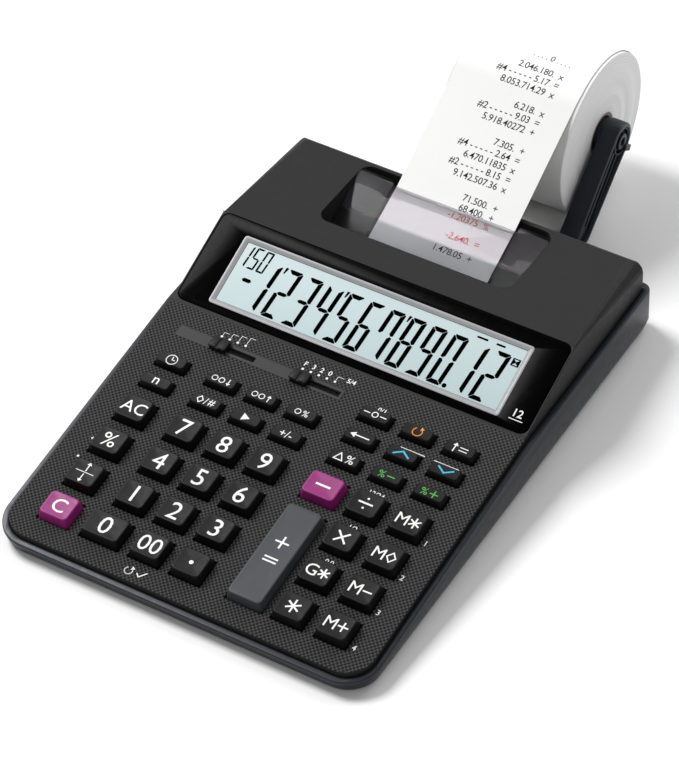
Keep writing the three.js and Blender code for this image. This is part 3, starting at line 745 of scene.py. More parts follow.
@mark
def round_arrow(size):
    """An arrow that runs most of the way round a circle."""
    angles = [math.radians(60 - 290 * k / 18) for k in range(19)]
    arc = [(size * math.cos(a), size * math.sin(a)) for a in angles]
    x, y = arc[0]
    return join(stroke(arc, 0.45), polygon([(x - 0.2, y + 1.1), (x - 0.3, y - 1.0), (x + 1.5, y + 0.1)]))


@mark
def arrow(length, direction, width=0.5, head=1.2):
    """A vertical arrow."""
    tip = direction * length / 2
    back = tip - direction * head * 1.2
    point = polygon([(-head, back), (head, back), (0, tip)])
    return join(stroke([(0, -tip), (0, tip * 0.5)], width), point)


@mark
def coin(size, width):
    return stroke(circle(size, 20), width, closed=True)


def coins(count, size, width):
    """A short row of rings."""
    return side_by_side(*[coin(size, width)] * count, gap=0.5)


BIG = 13.2                  # size of the digits' type
MEMORY = 8.6                # and of the letter on the memory keys


def memory(sign, gap=0.8):
    """The memory letter with a sign behind it."""
    return side_by_side(text("M", MEMORY), sign, gap=gap)


DIGITS = ["one", "two", "three", "four", "five", "six", "seven", "eight", "nine"]
LEGENDS = {
    "key_clear": text("C", 10.5, 0.05),
    "key_mark_up": stacked(arrow(4.6, 1), arrow(4.6, -1), gap=1.6, rule=9),
    "key_percent": text("%", 11.0),
    "key_clear_all": text("AC", 9.2),
    "key_item_count": text("n", 7.6),
    "key_time": clock(2.7),
    "key_zero": text("0", BIG),
    "key_double_zero": text("00", BIG - 1.2),
    "key_point": mark(disc)(0, 0, 1.05),
    **{f"key_{name}": text(str(i + 1), BIG) for i, name in enumerate(DIGITS)},
    "key_date": side_by_side(diamond(1.9, 0.45), text("/", 5.4), text("#", 5.4), gap=0.6),
    "key_step": triangle(2.1),
    "key_sign": text("+/-", 5.8),
    "key_cost": side_by_side(coins(2, 1.35, 0.4), arrow(3.6, -1, 0.45, 1.1), gap=1.0),
    "key_sell": side_by_side(coins(2, 1.35, 0.4), arrow(3.6, 1, 0.45, 1.1), gap=1.0),
    "key_margin": side_by_side(coins(1, 1.35, 0.4), text("%", 4.8), gap=0.9),
    "key_plus_equals": stacked(cross(3.0), equals_sign(3.0), gap=5.4),
    "key_minus": dash(6.4, 1.1),
    "key_delta_percent": side_by_side(outline_triangle(2.2, 0.5), text("%", 6.4), gap=0.9),
    "key_correct": side_by_side(left_pointer(), dash(6.4, 0.6), gap=0.1),
    "key_print": side_by_side(dash(2.8, 0.5), coins(1, 1.4, 0.45), dash(2.8, 0.5), gap=0.9),
    "key_total": star(3.2),
    "key_grand_total": side_by_side(text("G", 8.8), star(2.4, 0.8), gap=0.7),
    "key_multiply": cross(3.7, turned=True),
    "key_divide": divide_sign(3.2, 0.9),
    "key_memory_plus": memory(cross(2.2, 0.75)),
    "key_memory_minus": memory(dash(3.8, 0.75)),
    "key_memory_subtotal": memory(diamond(2.7, 0.6), 0.7),
    "key_memory_total": memory(star(2.6, 0.75), 0.7),
    "key_tax_minus": side_by_side(text("%", 5.4), dash(3.3, 0.55), gap=1.0),
    "key_tax_plus": side_by_side(text("%", 5.4), cross(1.8, 0.55), gap=1.0),
    "key_check_up": chevron(2.5, 1),
    "key_check_down": chevron(2.5, -1),
    "key_reprint": round_arrow(2.3),
    "key_feed": side_by_side(arrow(4.8, 1, 0.55, 1.3), equals_sign(1.9, 0.45, 1.7), gap=1.0),
}
LEGEND_INKS = {                 # the others are white
    "key_tax_minus": "green", "key_tax_plus": "green", "key_check_up": "cyan", "key_check_down": "cyan",
    "key_reprint": "orange",
}


# ---- keys --------------------------------------------------------------------------------------
KEY_FLANGE_WIDTH = 1.25      # hole gap and the flange's reach under the deck, each side
KEY_FLANGE_THICKNESS = 0.8
KEY_FLANGE_CORNER = 1.0
KEY_TAPER, KEY_TAPER_SHARE = 0.9, 0.09    # how far a cap narrows: a limit, and a share of its depth
KEY_FOOT = 0.7               # height of the first ring of the sides over the deck
KEY_FOOT_TAPER = 0.12        # share of the narrowing that is reached there
KEY_SHARP = math.radians(38)
LEAST_CORNER = 0.4
DISH_CORNER = 1.5
DISH_RINGS = (0.94, 0.84, 0.7, 0.52, 0.3, 0.1)    # sizes of the top's rings, from its edge inwards
KEY_STYLES = {
    # radius of the top edge, depth of the hollow top, radius of the corners, facets round the top edge
    "large": {"fillet": 0.6, "dish": 0.32, "corner": 2.3, "edge_steps": 4},
    "tall": {"fillet": 0.6, "dish": 0.12, "corner": 2.3, "edge_steps": 4},
    "small": {"fillet": 0.6, "dish": 0.1, "corner": 2.0, "edge_steps": 1},
}


def key_style(half_y):
    if half_y > 20:
        return "tall"
    return "small" if half_y < 5 else "large"


def make_key(node, slot):
    """A tapered cap with a flange under the deck and a hollow top, and the printed mark on it."""
    low, high = local_box(node, DECK)
    cx, cy = middle(low, high)
    half_x = (high.x - low.x) / 2 - KEY_FLANGE_WIDTH
    half_y = (high.y - low.y) / 2 - KEY_FLANGE_WIDTH
    height = high.z
    style = KEY_STYLES[key_style(half_y)]
    fillet, dish, corner = style["fillet"], style["dish"], style["corner"]
    inset = min(KEY_TAPER, 2 * half_y * KEY_TAPER_SHARE) * (height - fillet) / height
    flange = (half_x + KEY_FLANGE_WIDTH, half_y + KEY_FLANGE_WIDTH, KEY_FLANGE_CORNER)
    flange_high = low.z + KEY_FLANGE_THICKNESS
    foot_inset = inset * KEY_FOOT_TAPER
    rings = [
        rounded_ring(*flange, low.z),
        rounded_ring(*flange, flange_high),
        rounded_ring(half_x, half_y, corner, flange_high),
        rounded_ring(half_x, half_y, corner, 0),
        rounded_ring(half_x - foot_inset, half_y - foot_inset, corner, KEY_FOOT),
    ]
    for k in range(style["edge_steps"] + 1):
        angle = math.pi / 2 * k / style["edge_steps"]
        turned_in = fillet * (1 - math.cos(angle))
        back = inset + turned_in
        round_off = max(corner - turned_in, LEAST_CORNER)
        rings.append(rounded_ring(half_x - back, half_y - back, round_off,
                                  height - fillet + fillet * math.sin(angle)))
    top_x, top_y = half_x - inset - fillet, half_y - inset - fillet
    for scale in DISH_RINGS:
        rings.append(rounded_ring(top_x * scale, top_y * scale, DISH_CORNER * scale,
                                  height - dish * (1 - scale ** 2)))
    bm = shift(skin(rings), cx, cy)
    cap = place_piece(finish_mesh(f"{node}_cap", bm, DECK, slot, KEY_SHARP), node, [node])

    legend = LEGENDS[node]()
    for v in legend.verts:
        reach = min(1, max(abs(v.co.x) / top_x, abs(v.co.y) / top_y))
        v.co.z += height - dish * (1 - reach ** 2) + INK / 2
        v.co.x += cx
        v.co.y += cy
    attach(finish_mesh(f"{node}_legend", legend, DECK, LEGEND_INKS.get(node, "white")), cap)


def make_keys():
    slots = {"key_clear": "key_magenta", "key_minus": "key_magenta", "key_plus_equals": "key_grey"}
    for node in sorted(n for n in NODES if n.startswith("key_") and n != "key_mat"):
        make_key(node, slots.get(node, "key_black"))


# ---- marks on the deck -------------------------------------------------------------------------
DOT_PITCH = 4.3
MODE_DOTS = [-60.5 + DOT_PITCH * k for k in range(4)]
DECIMAL_DOTS = [-16.8 + DOT_PITCH * k for k in range(5)]
DOT_ROW = 5.6               # from the switches' line back to the dots
LEADER = 0.2                # width of the leader lines
MARK_LIFT = 0.012           # clearance of the marks over the deck


def small_text(body, size, x, y):
    return centred(text_shape(body, size, 0.03), x, y)


def make_deck_marks():
    """White dots, leader lines and small generic marks beside the switches and keys."""
    slope = 1 / math.cos(DECK_ANGLE)
    whole = bmesh.new()
    row = (SWITCH_Y + DOT_ROW) * slope
    for x in MODE_DOTS + DECIMAL_DOTS:
        join(whole, disc(x, row, 0.62, 14))
    for x, height in zip(MODE_DOTS, (2.6, 3.4, 4.2, 5.0)):
        join(whole, stroke([(x, row + 1.0), (x, row + height), (x + 2.6, row + height)], LEADER))
    text_row = row + 3.2
    for digit, x in zip("F320", DECIMAL_DOTS):
        join(whole, small_text(digit, 3.8, x, text_row))
    x = DECIMAL_DOTS[-1]
    join(whole, stroke([(x, row + 1.0), (x, text_row), (x + 3, text_row)], LEADER))
    join(whole, small_text("5/4", 3.6, x + 7, text_row))
    join(whole, centred(round_arrow(1.9)(), -27, 8.6 * slope))
    join(whole, stroke([(-22.8, 8.6), (-21.4, 7.2), (-18.8, 10.4)], 0.55))
    memory_keys = ("key_memory_total", "key_memory_subtotal", "key_memory_minus", "key_memory_plus")
    for digit, name in zip("1234", memory_keys):
        low, high = local_box(name, DECK)
        join(whole, small_text(digit, 4.0, high.x + 1.6, low.y + 4))
    above = {"key_divide": "12/24", "key_multiply": "1/2", "key_grand_total": "0.0", "key_print": "0/1"}
    for name, words in above.items():
        low, high = local_box(name, DECK)
        join(whole, small_text(words, 3.6, middle(low, high)[0], high.y + 0.5))
    for name, ends in (("key_check_up", (4.5, 0)), ("key_check_down", (0, -4.5))):
        low, high = local_box(name, DECK)
        join(whole, stroke([(low.x + 1 + ends[0], high.y + 0.1), (high.x - 1 + ends[1], high.y + 0.1)], 0.4))
    low, high = local_box("key_percent", DECK)
    join(whole, small_text("+", 3.2, low.x - 0.6, middle(low, high)[1]))
    low, high = local_box("key_mark_up", DECK)
    join(whole, disc(low.x - 1.0, high.y + 0.6, 0.6, 14))
    on_case("deck_marks", shift(whole, z=INK / 2 + MARK_LIFT), DECK, "white")


STRIP = (-81.0, 7.5)          # left and right end of the smooth strip round both switches
STRIP_HALF = 3.1
STRIP_RISE = 0.16
STRIP_LIFT = 0.02            # clearance of the strip over the deck
STRIP_SHADOW_WIDTH = 0.3             # width of the painted shadow line behind the strip and at its right end
SLOT_HALF = 1.6
SLOT_END = 1.4               # from a switch's CAD box to the end of its slot
NARROWEST_PLATE = 0.2
KNOB_HALF_X, KNOB_HALF_Y = 4.5, 3.3
SWITCH_TRAVEL = {"mode_switch": 13, "decimal_switch": 15}


def centred_block(cx, cy, half_x, half_y, *rest):
    return block(cx - half_x, cx + half_x, cy - half_y, cy + half_y, *rest)


def make_switches():
    """One smooth strip with two slots, and the grooved knobs that slide in them. A dark line painted behind
    the strip and at its right end stands for the shadow of its step.
    """
    plates = bmesh.new()
    slots = []
    for name, travel in SWITCH_TRAVEL.items():
        low, high = local_box(name, DECK)
        cx, cy = middle(low, high)
        slots.append((low.x - SLOT_END, high.x + travel + SLOT_END))
        height = high.z
        knob = centred_block(cx, cy, KNOB_HALF_X, KNOB_HALF_Y, GAP + 0.05, height - 0.5, 0.8, 0.2)
        for side in (-1, 1):
            rib = (cx + side * (KNOB_HALF_X / 2 + 0.25), cy, KNOB_HALF_X / 2 - 0.3, KNOB_HALF_Y - 0.2)
            join(knob, centred_block(*rib, height - 0.8, height - 0.02, 0.8, 0.4))
        join(knob, centred_block(cx, cy, 2, 1, low.z + 0.9, GAP + 0.2, 0.2))
        join(knob, centred_block(cx, cy, 3.4, 2.3, low.z, low.z + 1, 0.3))
        place_piece(finish_mesh(f"{name}_knob", knob, DECK, "switch_plastic"), name, [name])
    front, rear = cy - STRIP_HALF, cy + STRIP_HALF
    slot_front, slot_rear = cy - SLOT_HALF, cy + SLOT_HALF
    rectangles = [(*STRIP, front, slot_front), (*STRIP, slot_rear, rear),
                  (STRIP[0], slots[0][0], slot_front, slot_rear),
                  (slots[0][1], slots[1][0], slot_front, slot_rear),
                  (slots[1][1], STRIP[1], slot_front, slot_rear)]
    for x0, x1, y0, y1 in rectangles:
        if x1 - x0 > NARROWEST_PLATE:
            join(plates, polygon([(x0, y0), (x1, y0), (x1, y1), (x0, y1)], STRIP_RISE))
    shift(plates, z=STRIP_RISE / 2 + STRIP_LIFT)
    on_case("switch_strip", plates, DECK, "smooth_shell")
    # painted shadow: a dark line on the deck behind the strip and at its right end, for the shadow of its
    # step
    line_y, line_x = rear + STRIP_SHADOW_WIDTH / 2, STRIP[1] + STRIP_SHADOW_WIDTH / 2
    step = stroke([(STRIP[0], line_y), (STRIP[1], line_y)], STRIP_SHADOW_WIDTH)
    join(step, stroke([(line_x, front), (line_x, rear + STRIP_SHADOW_WIDTH)], STRIP_SHADOW_WIDTH))
    on_case("switch_strip_painted_shadow", shift(step, z=STRIP_RISE), DECK, "switch_plastic")


# ---- display -----------------------------------------------------------------------------------
SEGMENTS = {
    "0": "abcdef", "1": "bc", "2": "abged", "3": "abgcd", "4": "fgbc", "5": "afgcd", "6": "afgecd",
    "7": "fabc", "8": "abcdefg", "9": "abfgcd",
}
LEAN = 0.08                  # sideways shift of a digit for each millimetre of its height
DIGIT_WIDTH, DIGIT_HEIGHT, DIGIT_PITCH, DIGIT_THICK = 7.9, 26.6, 11.05, 2.2
DIGITS_LEFT = -62.4
DIGITS_LIFT = 3.2            # from the window's lower edge to the digits
COUNTER_WIDTH, COUNTER_HEIGHT, COUNTER_PITCH, COUNTER_THICK = 4.0, 11.8, 5.2, 0.95
FRAME_PROFILE = [            # inset from the window's edge, corner radius, height over the panel
    (0.35, 0.6, -LCD_SINK), (0.35, 0.6, 0.02), (-0.3, 1.4, 0.02), (-0.3, 1.4, 0.14), (0.1, 1.3, 0.24),
    (1.0, 1.0, 0.16), (1.8, 0.7, -0.42), (2.15, 0.6, -0.5), (2.15, 0.6, -LCD_SINK),
]
LINE_TOP = -LCD_SINK + 0.04
INNER_LINE_PROFILE = [(2.15, 0.6, -LCD_SINK), (2.15, 0.6, LINE_TOP), (2.35, 0.5, LINE_TOP),
                      (2.35, 0.5, -LCD_SINK)]


def segment_digit(character, width, height, thick):
    """One leaning seven-segment digit, with its lower left corner at the origin."""
    w, h, t, gap = width, height, thick, thick * 0.07
    half, middle = t / 2, h / 2

    def corner_bar(y, inward):
        """The top or bottom bar, mitred at both ends."""
        cut = half * 0.6
        return [(gap + cut, y), (w - gap - cut, y), (w - gap - half * 0.5, y + inward * cut),
                (w - t - gap, y + inward * t), (t + gap, y + inward * t),
                (gap + half * 0.5, y + inward * cut)]

    def side_bar(x, inward, end, towards):
        """One of the four upright bars, from the digit's corner to its middle."""
        cut = half * 0.6
        return [(x, end + towards * (gap + cut)), (x + inward * cut, end + towards * (gap + cut)),
                (x + inward * t, end + towards * (t + gap)),
                (x + inward * t, middle - towards * (half + gap)),
                (x + inward * half, middle - towards * gap),
                (x, middle - towards * (gap + half * 0.4))]

    shapes = {
        "a": corner_bar(h, -1), "d": corner_bar(0, 1),
        "f": side_bar(0, 1, h, -1), "b": side_bar(w, -1, h, -1),
        "e": side_bar(0, 1, 0, 1), "c": side_bar(w, -1, 0, 1),
        "g": [(half + gap, middle), (t + gap, middle + half * 0.85), (w - t - gap, middle + half * 0.85),
              (w - half - gap, middle), (w - t - gap, middle - half * 0.85), (t + gap, middle - half * 0.85)],
    }
    whole = bmesh.new()
    for letter in SEGMENTS[character]:
        join(whole, polygon([(x + LEAN * y, y) for x, y in shapes[letter]]))
    return whole


def make_display():
    """The gloss panel, the window's frame, and the dark marks on the liquid crystal."""
    bezel = shell_copy("display_bezel", "display_bezel_gloss", "gloss_panel", 0.35)
    place_piece(bezel, "case", ["display_bezel"])
    NODES["lcd_panel"].data.materials.clear()
    NODES["lcd_panel"].data.materials.append(M["lcd_glass"])

    half_x, half_y = WINDOW[0] / 2, WINDOW[1] / 2
    centre = (0, WINDOW_START + half_y)
    outlines = (("lcd_frame", FRAME_PROFILE, "lcd_frame", "gloss_panel"),
                ("lcd_inner_line", INNER_LINE_PROFILE, "black_ink", "lcd_glass"))
    for name, profile, material, slot in outlines:
        rings = [rounded_ring(half_x - inset, half_y - inset, radius, z, 5, centre)
                 for inset, radius, z in profile]
        on_case(name, skin(rings, loop=True), DISPLAY, material)

    ink = bmesh.new()
    base_y = WINDOW_START + DIGITS_LIFT
    top = base_y + DIGIT_HEIGHT
    for k, character in enumerate("123456789012"):
        digit = segment_digit(character, DIGIT_WIDTH, DIGIT_HEIGHT, DIGIT_THICK)
        join(ink, shift(digit, DIGITS_LEFT + DIGIT_PITCH * k, base_y))
    for k in (1, 4, 7):         # digits with a separator at their upper right
        x = DIGITS_LEFT + DIGIT_PITCH * k - 1.1 + LEAN * DIGIT_HEIGHT
        join(ink, polygon([(x - 0.9, top - 3.3), (x - 0.2, top - 3.3), (x + 0.8, top), (x - 0.7, top)]))
    join(ink, disc(DIGITS_LEFT + DIGIT_PITCH * 10 - 1.3, base_y + 1.1, 1.15))
    x, y = DIGITS_LEFT, base_y + DIGIT_HEIGHT / 2
    join(ink, polygon([(x - 5.9, y), (x - 4.9, y - 1), (x - 1.7, y - 1), (x - 0.7, y),
                       (x - 1.7, y + 1), (x - 4.9, y + 1)]))
    for k, character in enumerate("150"):
        digit = segment_digit(character, COUNTER_WIDTH, COUNTER_HEIGHT, COUNTER_THICK)
        join(ink, shift(digit, -half_x + 2.2 + COUNTER_PITCH * k, top - 7.6))
    for k, length in enumerate((4.6, 3.6)):
        x = half_x - 27 + 10 * k
        join(ink, stroke([(x, top + 2.6), (x + length, top + 2.6)], 1.0))
    x, y = half_x - 4.9, top - 2.6      # middle of the battery mark
    join(ink, polygon([(x - 2, y - 2), (x + 2, y - 2), (x + 2, y + 2), (x - 2, y + 2)]))
    on_case("lcd_segments", shift(ink, z=-LCD_SINK + INK / 2 + 0.01), DISPLAY, "lcd_ink")
    notch = join(polygon([(x - 1.3, y + 1.4), (x, y + 0.3), (x + 1.3, y + 1.4)]),
                 polygon([(x - 1.3, y - 1.4), (x + 1.3, y - 1.4), (x, y - 0.3)]))
    on_case("lcd_battery_mark", shift(notch, z=-LCD_SINK + INK * 2), DISPLAY, "lcd_glass")

    marks = centred(text_shape("12", 5.6, 0.06), half_x + 8.5, 8.6)
    join(marks, stroke([(half_x + 5.2, 5.2), (half_x + 11.8, 5.2)], 0.4))
    on_case("bezel_marks", shift(marks, z=INK / 2 + 0.01), DISPLAY, "white")


# ---- paper -------------------------------------------------------------------------------------
def arc_points(cy, cz, radius, start, end, steps):
    """The (y, z) points of an arc."""
    return [(cy + radius * math.cos(start + (end - start) * i / steps),
             cz + radius * math.sin(start + (end - start) * i / steps)) for i in range(steps + 1)]


FEED_RADIUS = 4.5
TAPE_THICKNESS = 0.3         # of the CAD tape; the visible one is two thirds as thick
TAPE_CLEARANCE = 0.4         # between the paper and the feed roller
ROLL_CLEARANCE = 0.5         # and between the paper and the roll
TAPE_ENTRY = (CASE_DEPTH - 1.5, 15)      # where the paper enters the case
ROLL_END_ANGLE = 0.35        # where the tape ends on the roll


def feed_centre():
    """The (y, z) of the feed roller's axis."""
    drop = CUTTER_THICKNESS + GAP + TAPE_THICKNESS / 2 + FEED_RADIUS + TAPE_CLEARANCE
    return (CUTTER_FRONT[0] + 3 * math.cos(CUTTER_ANGLE) + drop * math.sin(CUTTER_ANGLE),
            CUTTER_FRONT[1] + 3 * math.sin(CUTTER_ANGLE) - drop * math.cos(CUTTER_ANGLE))


def tape_route():
    """(y, z) points of the paper, and the index of the one at the tear edge."""
    reach = ROLL_RADIUS + ROLL_CLEARANCE
    offset = CUTTER_THICKNESS + GAP + TAPE_THICKNESS / 2
    tear_y = CUTTER_REAR[0] - 1.5 + offset * math.sin(CUTTER_ANGLE)
    tear_z = CUTTER_REAR[1] - 1.5 * math.tan(CUTTER_ANGLE) - offset * math.cos(CUTTER_ANGLE)
    lean = (math.atan2(ROLL_Z - tear_z, ROLL_Y - tear_y)
            + math.asin(reach / math.hypot(ROLL_Y - tear_y, ROLL_Z - tear_z)))
    entry_y, entry_z = TAPE_ENTRY
    entry_lean = (math.atan2(ROLL_Z - entry_z, ROLL_Y - entry_y)
                  - math.asin(reach / math.hypot(ROLL_Y - entry_y, ROLL_Z - entry_z)))
    route = arc_points(ROLL_Y, ROLL_Z, reach, entry_lean - math.pi / 2 + 0.5, entry_lean - math.pi / 2, 10)
    route.append(TAPE_ENTRY)
    route += arc_points(*feed_centre(), FEED_RADIUS + TAPE_CLEARANCE,
                        -math.pi / 2, -1.5 * math.pi + CUTTER_ANGLE, 20)
    tear = len(route)
    route.append((tear_y, tear_z))
    route += arc_points(ROLL_Y, ROLL_Z, reach, lean + math.pi / 2, ROLL_END_ANGLE, 48)
    return route, tear


def walk(route, start, distance):
    """The point, and the direction, a distance along the route from one of its points."""
    i = start
    step = 1 if distance >= 0 else -1
    left = abs(distance)
    while True:
        a, b = Vector(route[i]), Vector(route[i + step])
        length = (b - a).length
        if left <= length or not 0 <= i + 2 * step < len(route):
            direction = (b - a).normalized() * step
            return a + (b - a) * (left / length), direction
        left -= length
        i += step


RECEIPT = [
    # text, ink, gap before it in lines; the lowest line first
    ("1.478.05  +", "black_ink", 0),
    ("-2.640.  =", "red_ink", 1.6),
    ("-1.20375  %", "red_ink", 2),
    ("68.400.  +", "black_ink", 1),
    ("71.500.  +", "black_ink", 1),
    ("9.142.507.36  x", "black_ink", 2),
    ("#2 - - - - - 8.15  =", "black_ink", 1),
    ("6.470.11835  x", "black_ink", 1),
    ("#4 - - - - - 2.64  =", "black_ink", 1),
    ("7.305.  +", "black_ink", 1),
    ("5.918.40272  +", "black_ink", 2),
    ("#2 - - - - - 9.03  =", "black_ink", 1),
    ("6.218.  x", "black_ink", 1),
    ("8.053.714.29  x", "black_ink", 2),
    ("#4 - - - - - 5.17  =", "black_ink", 1),
    ("2.046.180.  x", "black_ink", 1),
    (". . . . 0 . . . .", "black_ink", 1.6),
]
LINE_PITCH = 5.0
LINE_SIZE = 4.9
LINE_START = -23.5          # from the tear edge to the lowest line, along the paper
LINE_MARGIN = 12            # from the tape's right edge to the ends of the lines
TAPE_DRIFT = 3.4            # how far the loose paper slants towards the roll's right end


def tape_drift(y):
    """Sideways shift of the paper between the case and the roll."""
    part = min(1, max(0, (y - CASE_DEPTH) / (ROLL_Y - 15 - CASE_DEPTH)))
    return TAPE_DRIFT * part * part * (3 - 2 * part)


RING_DEPTHS = [0.0, 0.06, 0.02, 0.1, 0.03, 0.0, 0.05, 0.02]     # how far the roll's layers stand back
RING_EDGE = 0.1
ROLL_EDGE = 0.4


def make_paper():
    """The printed tape, the wound roll and its core."""
    route, tear = tape_route()
    half = TAPE_WIDTH / 2
    surface = TAPE_THICKNESS / 3
    rings = []
    for i, (y, z) in enumerate(route):
        before, after = Vector(route[max(i - 1, 0)]), Vector(route[min(i + 1, len(route) - 1)])
        direction = (after - before).normalized()
        ny, nz = -direction.y * surface, direction.x * surface
        x = TAPE_X + tape_drift(y)
        rings.append([(x - half, y - ny, z - nz), (x + half, y - ny, z - nz),
                      (x + half, y + ny, z + nz), (x - half, y + ny, z + nz)])
    tape = place_piece(finish_mesh("paper_tape_web", skin(rings), CASE, "paper", math.radians(60)),
                       "case", ["paper_tape"])

    inks = {"black_ink": bmesh.new(), "red_ink": bmesh.new()}
    distance = LINE_START
    for body, ink, gap in RECEIPT:
        distance += gap * LINE_PITCH
        line = text_shape(body, LINE_SIZE, 0.02, "RIGHT", 0.95)
        for v in line.verts:
            point, direction = walk(route, tear, distance + v.co.y)
            out = surface + 0.01 + v.co.z + INK / 2
            right = TAPE_X + tape_drift(point.x) + half - LINE_MARGIN
            v.co = (right + v.co.x, point.x - direction.y * out, point.y + direction.x * out)
        join(inks[ink], line)
    for ink, bm in inks.items():
        attach(finish_mesh(f"tape_print_{ink[:-4]}", bm, CASE, ink), tape)

    half_roll = ROLL_WIDTH / 2
    core = ROLL_BORE + 1.6
    layers = ROLL_RADIUS - ROLL_EDGE - core
    face = [(core, 0.5)]        # radius and depth, from the core out
    for k, depth in enumerate(RING_DEPTHS):
        r0 = core + layers * k / len(RING_DEPTHS)
        r1 = core + layers * (k + 1) / len(RING_DEPTHS)
        face += [(r0 + RING_EDGE, depth), (r1 - RING_EDGE, depth)]
    face.append((ROLL_RADIUS, 0.35))
    profile = [(r, depth - half_roll) for r, depth in face]
    profile += [(r, half_roll - depth) for r, depth in reversed(face)]
    place = along_x(ROLL_X, ROLL_Y, ROLL_Z)
    wound = finish_mesh("paper_roll_wound", lathe(profile, 120), place, "paper_wound", math.radians(25))
    roll = place_piece(wound, "paper_roll", ["paper_roll"])
    tube = lathe([(ROLL_BORE, -half_roll + 0.2), (core, -half_roll + 0.2), (core, half_roll - 0.2),
                  (ROLL_BORE, half_roll - 0.2)])
    attach(finish_mesh("paper_roll_core", tube, place, "card"), roll)


# ---- cutter panel and printer ------------------------------------------------------------------
TEETH = 58
TEETH_REACH = 1.6            # of the teeth past the tape, each side


def make_cutter():
    """The clear panel with its tear edge, and the ramps under it on both sides of the tape."""
    panel = shell_copy("paper_cutter", "paper_cutter_clear", "clear_panel", 0.25, 2)
    place_piece(panel, "case", ["paper_cutter"])
    y = CUTTER_LENGTH - 2.6
    left = TAPE_X - TAPE_WIDTH / 2 - TEETH_REACH
    pitch = (TAPE_WIDTH + 2 * TEETH_REACH) / TEETH
    points = [(left, y - 2.0), (left + pitch * TEETH, y - 2.0)]
    for k in range(TEETH, 0, -1):
        points += [(left + pitch * k, y - 0.9), (left + pitch * (k - 0.5), y - 0.1)]
    points.append((left, y - 0.9))
    blade = shift(polygon(points, 0.12), z=0.08)
    on_case("tear_edge_teeth", blade, CUTTER, "clear_panel")
    under = -CUTTER_THICKNESS - 0.2
    for side, name in ((-1, "left"), (1, "right")):
        ends = (PRINTER_X + side * (RECESS_HALF - 0.6), TAPE_X + side * (TAPE_WIDTH / 2 + 2))
        ramp = block(min(ends), max(ends), 0.6, CUTTER_LENGTH - 1, under - 0.2, under, 0.5)
        on_case(f"printer_ramp_{name}", ramp, CUTTER, "smooth_shell")


def dress_cad_nodes():
    """The hidden working parts keep their CAD shape and get a finish and softened edges."""
    finishes = {
        "key_mat": "rubber_mat", "main_board": "circuit_board", "printer_frame": "printer_plastic",
        "feed_roller": "roller_rubber", "ink_roller": "ink_felt",
    }
    for node, material in finishes.items():
        obj = NODES[node]
        obj.data.materials.clear()
        obj.data.materials.append(M[material])
        bevel = obj.modifiers.new("edges", "BEVEL")
        bevel.width = 0.3 * MM
        bevel.segments = 2
        bevel.limit_method = "ANGLE"
        bevel.angle_limit = math.radians(40)


# ---- shells ------------------------------------------------------------------------------------
# Three points (x, z) across the edge, just under the surface, at each end (y) of the hump's rear corners.
PATCH_ENDS = {243.0: ((91.0, 39.74), (92.46, 38.57), (92.8, 38.12)),
              263.4: ((91.0, 37.65), (91.68, 37.12), (92.8, 35.66))}
PATCH_THICKNESS = 0.8


def make_corner_patches():
    """Strips that close the narrow slit the CAD faces leave along the hump's rear corners."""
    for side, label in ((-1, "left"), (1, "right")):
        rings = []
        for y, points in PATCH_ENDS.items():
            top = [(side * x, y, z) for x, z in points]
            under = [(x, y, z - PATCH_THICKNESS) for x, _, z in reversed(top)]
            rings.append(top + under)
        strip = skin(rings)
        bmesh.ops.recalc_face_normals(strip, faces=strip.faces)
        on_case(f"hump_corner_{label}", strip, CASE, "upper_shell")


FOOT_X, FOOT_INSET = 81.5, 16
FOOT_PROFILE = [(0, -FOOT_HEIGHT + 0.02), (5.2, -FOOT_HEIGHT + 0.02), (5.7, -FOOT_HEIGHT + 0.4), (5.7, -0.1),
                (0, -0.1)]


def make_shells():
    """The two halves of the case, and its feet."""
    make_corner_patches()
    upper = shell_copy("upper_case", "upper_case_shell", "upper_shell", 0.3, merge=False)
    place_piece(upper, "case", ["upper_case"])
    normals = upper.modifiers.new("even_normals", "WEIGHTED_NORMAL")
    normals.keep_sharp = True
    lower = shell_copy("lower_case", "lower_case_shell", "lower_shell", 0.4)
    place_piece(lower, "case", ["lower_case"])

    for side, hand in ((-1, "left"), (1, "right")):
        for name, y in (("front", FOOT_INSET), ("rear", CASE_DEPTH - FOOT_INSET)):
            where = CASE @ Matrix.Translation((side * FOOT_X, y, 0))
            foot = lathe(FOOT_PROFILE, 36)
            on_case(f"foot_{name}_{hand}", foot, where, "roller_rubber")


# ---- paper arms --------------------------------------------------------------------------------
ARM_GAP, ARM_THICKNESS, ARM_WIDTH, ARM_PIVOT_Y = 2.2, 9, 19, 279
ARM_FLARE = 1.8              # how far the right arm's foot thickens towards the roll
ARM_LOW_Z, ARM_FOOT_Z = 4.3, 13.7        # bottom and top of an arm's foot
ARM_EDGE = 0.9               # size of the rounded edges
ARM_SHARP = math.radians(40)
ARM_RAIL_OFFSET, ARM_RAIL_HALF = 2.4, 0.5
ARM_HUB_RADIUS, ARM_HUB_LENGTH = 8.6, 6.5
# Turned parts of an arm, as (radius, height) outlines.
HUB_PROFILE = [(0, -0.4), (ARM_HUB_RADIUS, -0.4), (ARM_HUB_RADIUS, ARM_HUB_LENGTH - 1.2),
               (ARM_HUB_RADIUS - 1.2, ARM_HUB_LENGTH), (4.5, ARM_HUB_LENGTH), (4.2, ARM_HUB_LENGTH - 1.5),
               (0, ARM_HUB_LENGTH - 1.5)]
BOSS_PROFILE = [(2.0, -0.2), (4.2, -0.2), (4.2, 2.3), (3.8, 2.7), (2.4, 2.7), (2.0, 2.3)]
LIP_PROFILE = [(6.3, -0.2), (7.1, -0.2), (7.1, 1.5), (6.9, 1.8), (6.5, 1.8), (6.3, 1.5)]


